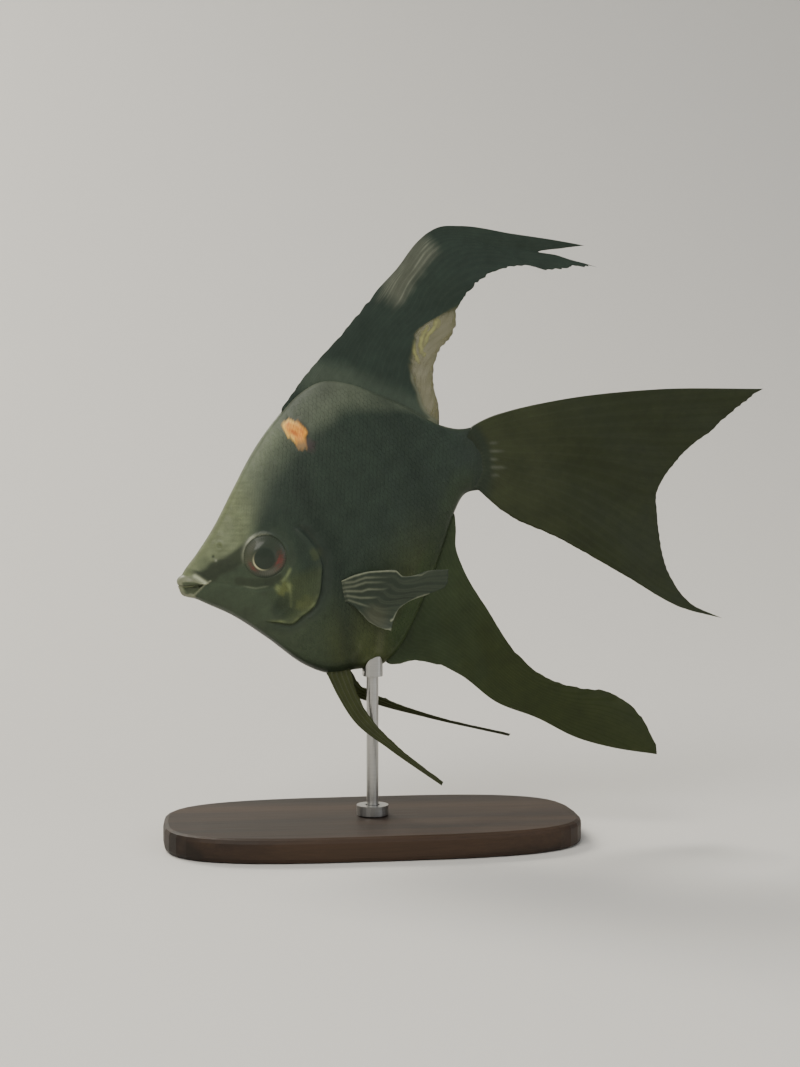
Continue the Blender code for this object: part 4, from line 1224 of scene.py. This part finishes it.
# the eyes: domed balls with a wet shine, the pupil turned a little forwards and down
eyeball = {
    # (distance from the eye's own axis, height over the flank)
    "profile": ((0.0, 1.12), (1.5, 1.03), (3.0, 0.72), (4.0, 0.38), (4.6, 0.12), (5.0, -0.12),
                (5.2, -0.4), (5.3, -1.6)),
    "behind": -2.4, "around": 128, "rings": 96, "backRings": 12, "pupil": 2.45, "lean": 0.85,
}
irisTones = {
    "pupil": (0.020, 0.0285, 0.019), "dark": (0.030, 0.039, 0.026), "olive": (0.052, 0.059, 0.035),
    "grey": (0.080, 0.083, 0.062), "gold": (0.44, 0.42, 0.25), "red": (0.115, 0.031, 0.024),
}


def eyeGrid(side):
    # the profile carried round the eye's axis and closed in behind; its outer part follows the flank
    rim, back = eyeball["profile"][-1][0], eyeball["backRings"]
    front = np.linspace(0.0, 1.0, eyeball["rings"])[1:, None] * rim
    height = line(eyeball["profile"], front)
    sunk = np.linspace(float(height[-1, 0]), eyeball["behind"], back)[1:, None]
    height = np.concatenate((height, sunk))
    r = np.concatenate((front, rim * np.linspace(0.98, 0.0, back)[:-1, None]))
    r, angle = np.broadcast_arrays(r, np.linspace(0.0, 2 * math.pi, eyeball["around"], endpoint=False))
    eyeX, eyeZ = eye["place"]
    centre = float(flank(np.array(eyeX), np.array(eyeZ)))
    x, z = eyeX + r * np.cos(angle), eyeZ + r * np.sin(angle)
    lean = eyeball["lean"] * (flank(x, z) - centre) * ease(2.5, 4.9, r)
    return r, angle, np.stack((x, side * (centre + height + lean), z), axis=-1)


def towards(angle, heading, spread):
    # a bell round one heading in degrees, that runs on across the turn from 180 to -180
    off = (np.degrees(angle) - heading + 180.0) % 360.0 - 180.0
    return np.exp(-(off / spread) ** 2)


def irisColour(r, angle):
    # a black pupil, a dark iris, a gold arc low on the pupil's front side and two red patches
    x, z = r * np.cos(angle), r * np.sin(angle)
    gazeX, gazeZ = eye["gaze"]
    fromPupil, bearing = np.hypot(x - gazeX, z - gazeZ), np.arctan2(z - gazeZ, x - gazeX)
    blood = 0.7 + 0.8 * ripple(x, z, 1.2, 91)
    rear = np.clip(1.1 * towards(angle, -36.0, 30.0) * bump(r, 3.7, 0.9) * blood, 0, 1)
    fore = np.clip(towards(angle, -160.0, 20.0) * bump(r, 4.05, 0.45) * blood, 0, 1)
    colour = painted(plain(irisTones["dark"], r), (
        ("olive", towards(angle, 165.0, 48.0) * ease(2.6, 3.4, r) * 0.9),
        ("grey", towards(angle, 122.0, 30.0) * bump(r, 4.1, 0.7) * 0.8),
        ("grey", towards(angle, -92.0, 42.0) * ease(2.9, 3.7, r) * ease(5.0, 4.3, r) * 0.8),
        ("red", rear), ("red", fore)), irisTones)
    thread = 1 + 0.16 * np.sin(angle * 61.0 + 2.0 * np.sin(angle * 7.0)) * ease(2.6, 3.2, r)
    pupil = eyeball["pupil"]
    inner = ease(pupil + 0.7, pupil - 0.1, fromPupil) * (0.5 + 0.5 * towards(bearing, 70.0, 80.0))
    return painted(colour * thread[..., None], (
        ("pupil", inner),
        ("gold", towards(bearing, -160.0, 44.0) * bump(fromPupil, 2.66, 0.2)),
        ("pupil", ease(pupil + 0.1, pupil - 0.1, fromPupil))), irisTones)


def poled(grid, pole):
    # a stack of rings closed by its pole in front and by the mean of its last ring behind
    points = toRoom(grid).reshape(-1, 3)
    rings, around = grid.shape[:2]
    ends = np.stack((toRoom(pole), points[-around:].mean(axis=0)))
    points = np.concatenate((points, ends))
    front = fanFaces(len(points) - 2, 0, around)
    behind = fanFaces(len(points) - 1, (rings - 1) * around, around)[:, ::-1]
    return points, [ringFaces(rings, around), front, behind]


def eyeMaterial():
    # flecked iris colour from the markings attribute under a clear, smooth coat
    made, tree, principled = shader("fishEye", irisTones["dark"], 0.5, specular=0.1, coat=0.32)
    place = objectPlace(tree)
    pigment = node(tree, "ShaderNodeAttribute", attribute_name="markings")
    fleck = noise(tree, place, 1800.0, 4.0, 0.6)
    tree.links.new(multiplied(tree, pigment.outputs["Color"], ranged(tree, fleck, 0.86, 1.14)),
                   principled.inputs["Base Color"])
    tree.links.new(ranged(tree, fleck, 0.16, 0.2), principled.inputs["Coat Roughness"])
    bumped(tree, principled, noise(tree, place, 900.0, 1.0), 0.2, 0.00002)
    return made


def makeEyes():
    # one ball for each side, with the pupil's tone on its front pole and the dark one behind its rim
    iris = eyeMaterial()
    for name, side in bothSides:
        r, angle, grid = eyeGrid(side)
        points, faces = poled(grid, grid[0].mean(axis=0))
        colour = irisColour(r, angle)
        colour[eyeball["rings"] - 1:] = irisTones["dark"]
        flat = np.concatenate((colour.reshape(-1, 3), (irisTones["pupil"], irisTones["dark"])))
        made = makeMesh(f"fish_eye_{name}", points, faces, iris, {"markings": flat})
        settle(made, "fish_eye", f"eye_{name}")
    print("eyes made")


makeEyes()


# the scales: rows of thin plates over the skin, each tilted so that its rear edge stands proud
scales = {
    "body": {"along": 1.06, "across": 1.22, "size": 1.78, "seed": 101},
    "face": {"along": 0.66, "across": 0.74, "size": 1.08, "seed": 102},
    "lift": (-0.022, 0.016), "thick": 0.007, "under": 2.2, "outline": 10, "bevel": 0.9, "long": 1.12,
    "stray": 0.07, "patch": 0.003, "offPatch": 1.1,
    # they grow behind this line: (share of the body's depth, distance from the lips)
    "snoutEdge": ((0.0, 19.0), (0.3, 16.5), (0.55, 14.0), (0.8, 13.5), (1.0, 15.0)),
    # above and below the gill cover the body's scales begin here: (height, distance from the lips)
    "bodyEdge": ((-40.0, 26.0), (-20.0, 27.0), (6.0, 30.0), (16.0, 27.0), (30.0, 24.0)),
}


def skinPlaces():
    # stations of the skin's columns behind the mouth, and their numbers on its grid
    station = np.concatenate(((mouth["end"],), skinGrid["station"]))
    return station, mouth["inside"] + mouth["columns"] - 1 + np.arange(len(station))


def skinAt(x, z, side):
    # the skin's surface, normal and place on its grid, at places of the side view
    station, index = skinPlaces()
    share = np.clip(depthShare(x, z), 0.0, 1.0)
    s = x
    for _ in range(6):
        s = x - tailShift(share) * ease(skin["tailBlend"], skin["tail"], s)
    column = np.clip(np.interp(s, station, index), 0, index[-1] - 1e-6)
    row = np.interp(share, skinGrid["share"][0, :skin["rows"] + 1], np.arange(skin["rows"] + 1))
    around = skinGrid["grid"].shape[1]
    row = np.where(side < 0, row, (around - row) % around)
    i, j = np.floor(column).astype(int), np.floor(row).astype(int)
    p, q = (column - i)[..., None], (row - j)[..., None]
    after = (j + 1) % around

    def read(values):
        return ((values[i, j] * (1 - p) + values[i + 1, j] * p) * (1 - q)
                + (values[i, after] * (1 - p) + values[i + 1, after] * p) * q)

    normal = read(skinGrid["smoothNormal"])
    normal = normal / np.linalg.norm(normal, axis=-1, keepdims=True)
    return read(skinGrid["grid"]), normal, column, row


def scaleRoots(kind):
    # staggered rows across the side view, each root strayed a little
    step = scales[kind]
    across = np.arange(-40.0, 40.0, step["across"])
    along = np.arange(9.0, 84.0, step["along"])
    x = along[None, :] + (np.arange(len(across)) % 2)[:, None] * step["along"] / 2
    stray = np.random.default_rng(step["seed"]).uniform(-1.0, 1.0, (2,) + x.shape)
    x = x + stray[0] * scales["stray"] * step["along"]
    z = across[:, None] + stray[1] * scales["stray"] * step["across"]
    return x.ravel(), z.ravel()


def edgeMargin(x, z):
    # distance up or down to the nearer outline of the body
    return np.minimum(z - line(body["belly"], x), line(body["back"], x) - z)


def scaled(x, z, kind):
    # where scales of a kind grow: the body's behind the gill and the nape, the face's before them
    depth, margin = depthShare(x, z), edgeMargin(x, z)
    beyond, there = beyondGill(x, z)
    behind = np.where(there > 0.3, beyond > 1.6, x > line(scales["bodyEdge"], z))
    inside = (margin > 0.25) & (x < line(body["tailEdge"], depth) - 0.9)
    if kind == "body":
        return behind & inside & (x > 20.0)
    cheek = (fromEye(x, z) > 6.5) & (x > line(scales["snoutEdge"], depth))
    rim = ~((there > 0.3) & (beyond > -1.0))
    return ~behind & inside & cheek & rim & (margin > 0.7)


def coatFade(x, z):
    # how fully the scales stand out: they sink flush with the skin near the eye, snout, ridges and gill
    snout = x - line(scales["snoutEdge"], depthShare(x, z))
    beyond, there = beyondGill(x, z)
    gillEdge = 1 - there * ease(-2.2, -0.8, beyond) * ease(3.2, 1.6, beyond)
    return ease(6.3, 8.2, fromEye(x, z)) * ease(0.0, 3.0, edgeMargin(x, z)) * ease(0.0, 5.0, snout) * gillEdge


def scaleSize(x, z, kind):
    # each kind's own size, smaller towards the ridges, the snout and the tail's root
    size = scales[kind]["size"] * (0.62 + 0.38 * ease(0.0, 5.0, edgeMargin(x, z)))
    if kind == "body":
        return size * (1 - 0.25 * ease(70.0, 80.0, x)) * (0.8 + 0.2 * ease(28.0, 36.0, x))
    return size * (0.72 + 0.28 * ease(14.0, 22.0, x))


def scaleOutline():
    # a fan, blunt in front and rounded behind: places along and across a scale of size 1
    turn = np.linspace(0.0, 2 * math.pi, scales["outline"], endpoint=False)
    return np.cos(turn) * 0.5 - 0.06 * np.cos(2 * turn), np.sin(turn) * (0.52 + 0.08 * np.cos(turn))


def scaleLayer(x, z, kind, side, reach, crown):
    # one ring of every scale, at a reach of its outline: the skin's place plus its normal times a lift
    # that grows from front to rear, plus the thickness where crown is 1
    size, full = scaleSize(x, z, kind)[:, None], coatFade(x, z)[:, None]
    lean = np.radians(-4.0 + 8.0 * ripple(x, z, 30.0, 104))[:, None]
    along, across = scaleOutline()
    a, b = along * reach * size * scales["long"], across * reach * size
    px = x[:, None] + a * np.cos(lean) - b * np.sin(lean)
    pz = z[:, None] + a * np.sin(lean) + b * np.cos(lean)
    if reach == 0.0:
        px, pz, a = px[:, :1], pz[:, :1], a[:, :1]
    place, normal, _, _ = skinAt(px, pz, side)
    t = a / (size * scales["long"]) + 0.5
    low, high = scales["lift"]
    lift = (low + (high - low) * t * full) * (size / scales["body"]["size"])
    lift = lift + scales["thick"] * crown * full
    return place + normal * lift[..., None], markings(px, pz, side) * (0.95 + 0.1 * t)[..., None]


def scaleFaces(amount):
    # bevel, crown and underside of each scale, whose points are its outline, the bevel's inner ring and
    # its middle above and below
    count = scales["outline"]
    k = np.arange(count)
    after = (k + 1) % count
    bevel = np.stack((k, after, after + count, k + count), axis=-1)
    crown = np.stack((k + count, after + count, np.full(count, 2 * count)), axis=-1)
    under = np.stack((after, k, np.full(count, 2 * count + 1)), axis=-1)
    start = (np.arange(amount) * (2 * count + 2))[:, None, None]
    return [(faces[None] + start).reshape(-1, faces.shape[1]) for faces in (bevel, crown, under)]


def scalePatches(x, z, side):
    # each scale's own small patch of the bake, round its root's place on the skin's grid
    _, _, column, row = skinAt(x, z, side)
    columns, around = skinGrid["grid"].shape[:2]
    home = np.stack((column / (columns - 1), row / around), axis=-1)[:, None, :]
    outline = np.stack(scaleOutline(), axis=-1)
    offset = np.concatenate((outline, outline * scales["bevel"], np.zeros((2, 2))))
    return np.clip(home + offset[None] * scales["patch"], 0.001, 0.999).reshape(-1, 2)


def makeScales(kind, name, side, material):
    # all scales of a kind on one flank as one mesh of closed plates, left out on the orange patch
    x, z = scaleRoots(kind)
    grown = scaled(x, z, kind) & ((inPatch(x, z)[1] < -scales["offPatch"]) | (side > 0))
    x, z = x[grown], z[grown]
    rings = ((1.0, 0.0), (scales["bevel"], 1.0), (0.0, 1.0))
    layers, colours = zip(*(scaleLayer(x, z, kind, side, reach, crown) for reach, crown in rings))
    under = layers[2] - skinAt(x[:, None], z[:, None], side)[1] * (scales["thick"] * scales["under"])
    points = toRoom(np.concatenate((*layers, under), axis=1)).reshape(-1, 3)
    colour = np.concatenate((*colours, colours[2]), axis=1).reshape(-1, 3)
    made = makeMesh(name, points, scaleFaces(len(x)), material, {"markings": colour},
                    scalePatches(x, z, side), crisp=(2,))
    print(name, "made:", len(x), "scales,", len(made.data.polygons), "faces")
    return settle(made, "fish_skin")


def blurred(values, passes):
    # neighbours' mean, so that scales lie over the skin's finest relief rather than follow it
    for _ in range(passes):
        values = (values + np.roll(values, 1, axis=1) + np.roll(values, -1, axis=1)) / 3
        values[1:-1] = (values[:-2] + values[1:-1] + values[2:]) / 3
    return values


skinGrid["smoothNormal"] = blurred(skinNormals(skinGrid["grid"]), 4)
scaleSkin, _, _ = grainedMaterial("fishScales", "skin", tones["flank"], 0.5, 0.22, 0.0, 0.3)
for sideName, sideSign in bothSides:
    for scaleKind in ("body", "face"):
        makeScales(scaleKind, f"{scaleKind}_scales_{sideName}", sideSign, scaleSkin)


# the stand: a dark oiled wooden base under a rod, collar and saddle of brushed steel
standFinish = {"wood": (0.0420, 0.0235, 0.0130), "dark": (0.0110, 0.0065, 0.0040),
               "steel": (0.4000, 0.3950, 0.3800), "grainScale": 130.0, "stretch": (0.07, 1.0, 1.0)}


def woodMaterial():
    # long grain along the base: stretched noise for the fibres, broader bands between dark and light wood
    made, tree, principled = shader("oiledWood", standFinish["wood"], 0.5, specular=0.25)
    place = objectPlace(tree)
    bands = noise(tree, place, standFinish["grainScale"], 3.0, 0.5, standFinish["stretch"])
    fibres = noise(tree, place, 2200.0, 6.0, 0.7, (0.03, 1.0, 1.0))
    ramp = node(tree, "ShaderNodeValToRGB")
    ramp.color_ramp.elements[0].position, ramp.color_ramp.elements[1].position = 0.35, 0.68
    ramp.color_ramp.elements[0].color = (*standFinish["dark"], 1.0)
    ramp.color_ramp.elements[1].color = (*standFinish["wood"], 1.0)
    tree.links.new(bands, ramp.inputs["Fac"])
    tree.links.new(multiplied(tree, ramp.outputs["Color"], ranged(tree, fibres, 0.5, 1.5)),
                   principled.inputs["Base Color"])
    tree.links.new(ranged(tree, fibres, 0.42, 0.66), principled.inputs["Roughness"])
    bumped(tree, principled, fibres, 0.35, 0.00008)
    return made


def steelMaterial():
    # fine turning marks round the rod: noise stretched level, on the colour, roughness and bump
    made, tree, principled = shader("brushedSteel", standFinish["steel"], 0.3, metallic=1.0)
    place = objectPlace(tree)
    turning = noise(tree, place, 5200.0, 4.0, 0.6, (0.04, 0.04, 1.0))
    smudge = noise(tree, place, 300.0, 3.0)
    colour = node(tree, "ShaderNodeRGB")
    colour.outputs[0].default_value = (*standFinish["steel"], 1.0)
    shade = multiplied(tree, colour.outputs[0], ranged(tree, turning, 0.8, 1.15))
    tree.links.new(shade, principled.inputs["Base Color"])
    rough = summed(tree, ranged(tree, turning, 0.18, 0.34), smudge, 0.12)
    tree.links.new(rough, principled.inputs["Roughness"])
    bumped(tree, principled, turning, 0.2, 0.00003)
    return made


def finishStand():
    # the solids' own nodes keep their shape and take the wood and the steel
    wood, steel = woodMaterial(), steelMaterial()
    finishes = {"stand_base": wood, "stand_rod": steel, "stand_collar": steel, "stand_saddle": steel}
    for name, finish in finishes.items():
        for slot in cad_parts[name].material_slots:
            slot.material = finish
    print("stand finished")


finishStand()


# the studio: a pale floor that sweeps up behind, soft lights and the camera
studio = {
    "depth": 0.45, "width": 4.0, "sweep": 1.1, "rise": 2.4, "front": 2.2,
    "rows": 60, "flatEnd": 0.5, "turnEnd": 0.8,     # shares of the floor's rows
    "floor": (0.72, 0.70, 0.66), "air": (0.86, 0.88, 0.9), "airStrength": 0.45,
    # each light's place, what it faces, its size, power and colour
    "lights": {"key": ((-0.55, -0.75, 0.85), (0.0, 0.0, 0.08), 0.7, 11.0, (1.0, 0.97, 0.9)),
               "fill": ((0.9, -0.9, 0.4), (0.02, 0.0, 0.07), 1.0, 4.0, (0.94, 0.97, 1.0)),
               "rim": ((-0.9, 1.4, 1.5), (0.0, 0.0, 0.08), 0.9, 46.0, (1.0, 0.96, 0.86))},
    "camera": {"away": 0.42, "azimuth": -8.0, "elevation": 2.0, "aim": (-0.0183, 0.0, 0.0),
               "focal": 56.7},
}


def makeFloor():
    # a flat floor carried back, then up a quarter circle into a wall
    rows, flatEnd, turnEnd = studio["rows"], studio["flatEnd"], studio["turnEnd"]
    depth, front, sweep = studio["depth"], studio["front"], studio["sweep"]
    s = np.linspace(0.0, 1.0, rows)
    turn = np.clip((s - flatEnd) / (turnEnd - flatEnd), 0.0, 1.0) * math.pi / 2
    y = np.where(s < flatEnd, -front + (depth + front) * s / flatEnd, depth + sweep * np.sin(turn))
    z = np.where(s < flatEnd, 0.0, sweep * (1 - np.cos(turn)))
    z = z + np.where(s >= turnEnd, (s - turnEnd) / (1 - turnEnd) * studio["rise"], 0.0)
    x = np.array((-studio["width"], studio["width"]))[:, None]
    grid = np.stack(np.broadcast_arrays(x, y, z), axis=-1)
    j = np.arange(rows - 1)
    faces = np.stack((j, j + rows, j + rows + 1, j + 1), axis=-1)
    material, tree, principled = shader("paleFloor", studio["floor"], 0.7, specular=0.2)
    grain = noise(tree, objectPlace(tree), 60.0, 6.0)
    tree.links.new(ranged(tree, grain, 0.62, 0.78), principled.inputs["Roughness"])
    makeMesh("studio_floor", grid.reshape(-1, 3), [faces], material)


def areaLight(name, place, aim, size, power, colour):
    # a square lamp at a place, turned to face its aim
    light = bpy.data.lights.new(name, "AREA")
    light.shape = "RECTANGLE"
    light.size, light.size_y = size, size
    light.energy = power
    light.color = colour
    made = bpy.data.objects.new(name, light)
    bpy.context.scene.collection.objects.link(made)
    made.location = place
    direction = np.array(aim) - np.array(place)
    made.rotation_euler = (math.acos(-direction[2] / np.linalg.norm(direction)), 0.0,
                           math.atan2(direction[1], direction[0]) - math.pi / 2)


def makeLights():
    # the three lamps, and a pale grey-blue air that fills the shadows
    for name, settings in studio["lights"].items():
        areaLight(name, *settings)
    world = bpy.data.worlds.new("studioAir")
    world.use_nodes = True
    air = world.node_tree.nodes["Background"]
    air.inputs["Color"].default_value = (*studio["air"], 1.0)
    air.inputs["Strength"].default_value = studio["airStrength"]
    bpy.context.scene.world = world


def makeCamera():
    # looks at the middle of the part from the left flank, a little ahead and above
    see = studio["camera"]
    low, high = cadBounds
    aim = [(low[k] + high[k]) / 2 + see["aim"][k] for k in range(3)]
    turn, lift = math.radians(see["azimuth"]), math.radians(see["elevation"])
    camera = bpy.data.cameras.new("camera")
    camera.lens = see["focal"]
    camera.clip_start = 0.01
    camera.clip_end = 30.0
    made = bpy.data.objects.new("camera", camera)
    bpy.context.scene.collection.objects.link(made)
    made.location = (aim[0] + see["away"] * math.sin(turn) * math.cos(lift),
                     aim[1] - see["away"] * math.cos(turn) * math.cos(lift),
                     aim[2] + see["away"] * math.sin(lift))
    made.rotation_euler = (math.pi / 2 - lift, 0.0, turn)
    bpy.context.scene.camera = made


makeFloor()
makeLights()
makeCamera()
print("studio, lights and camera made")
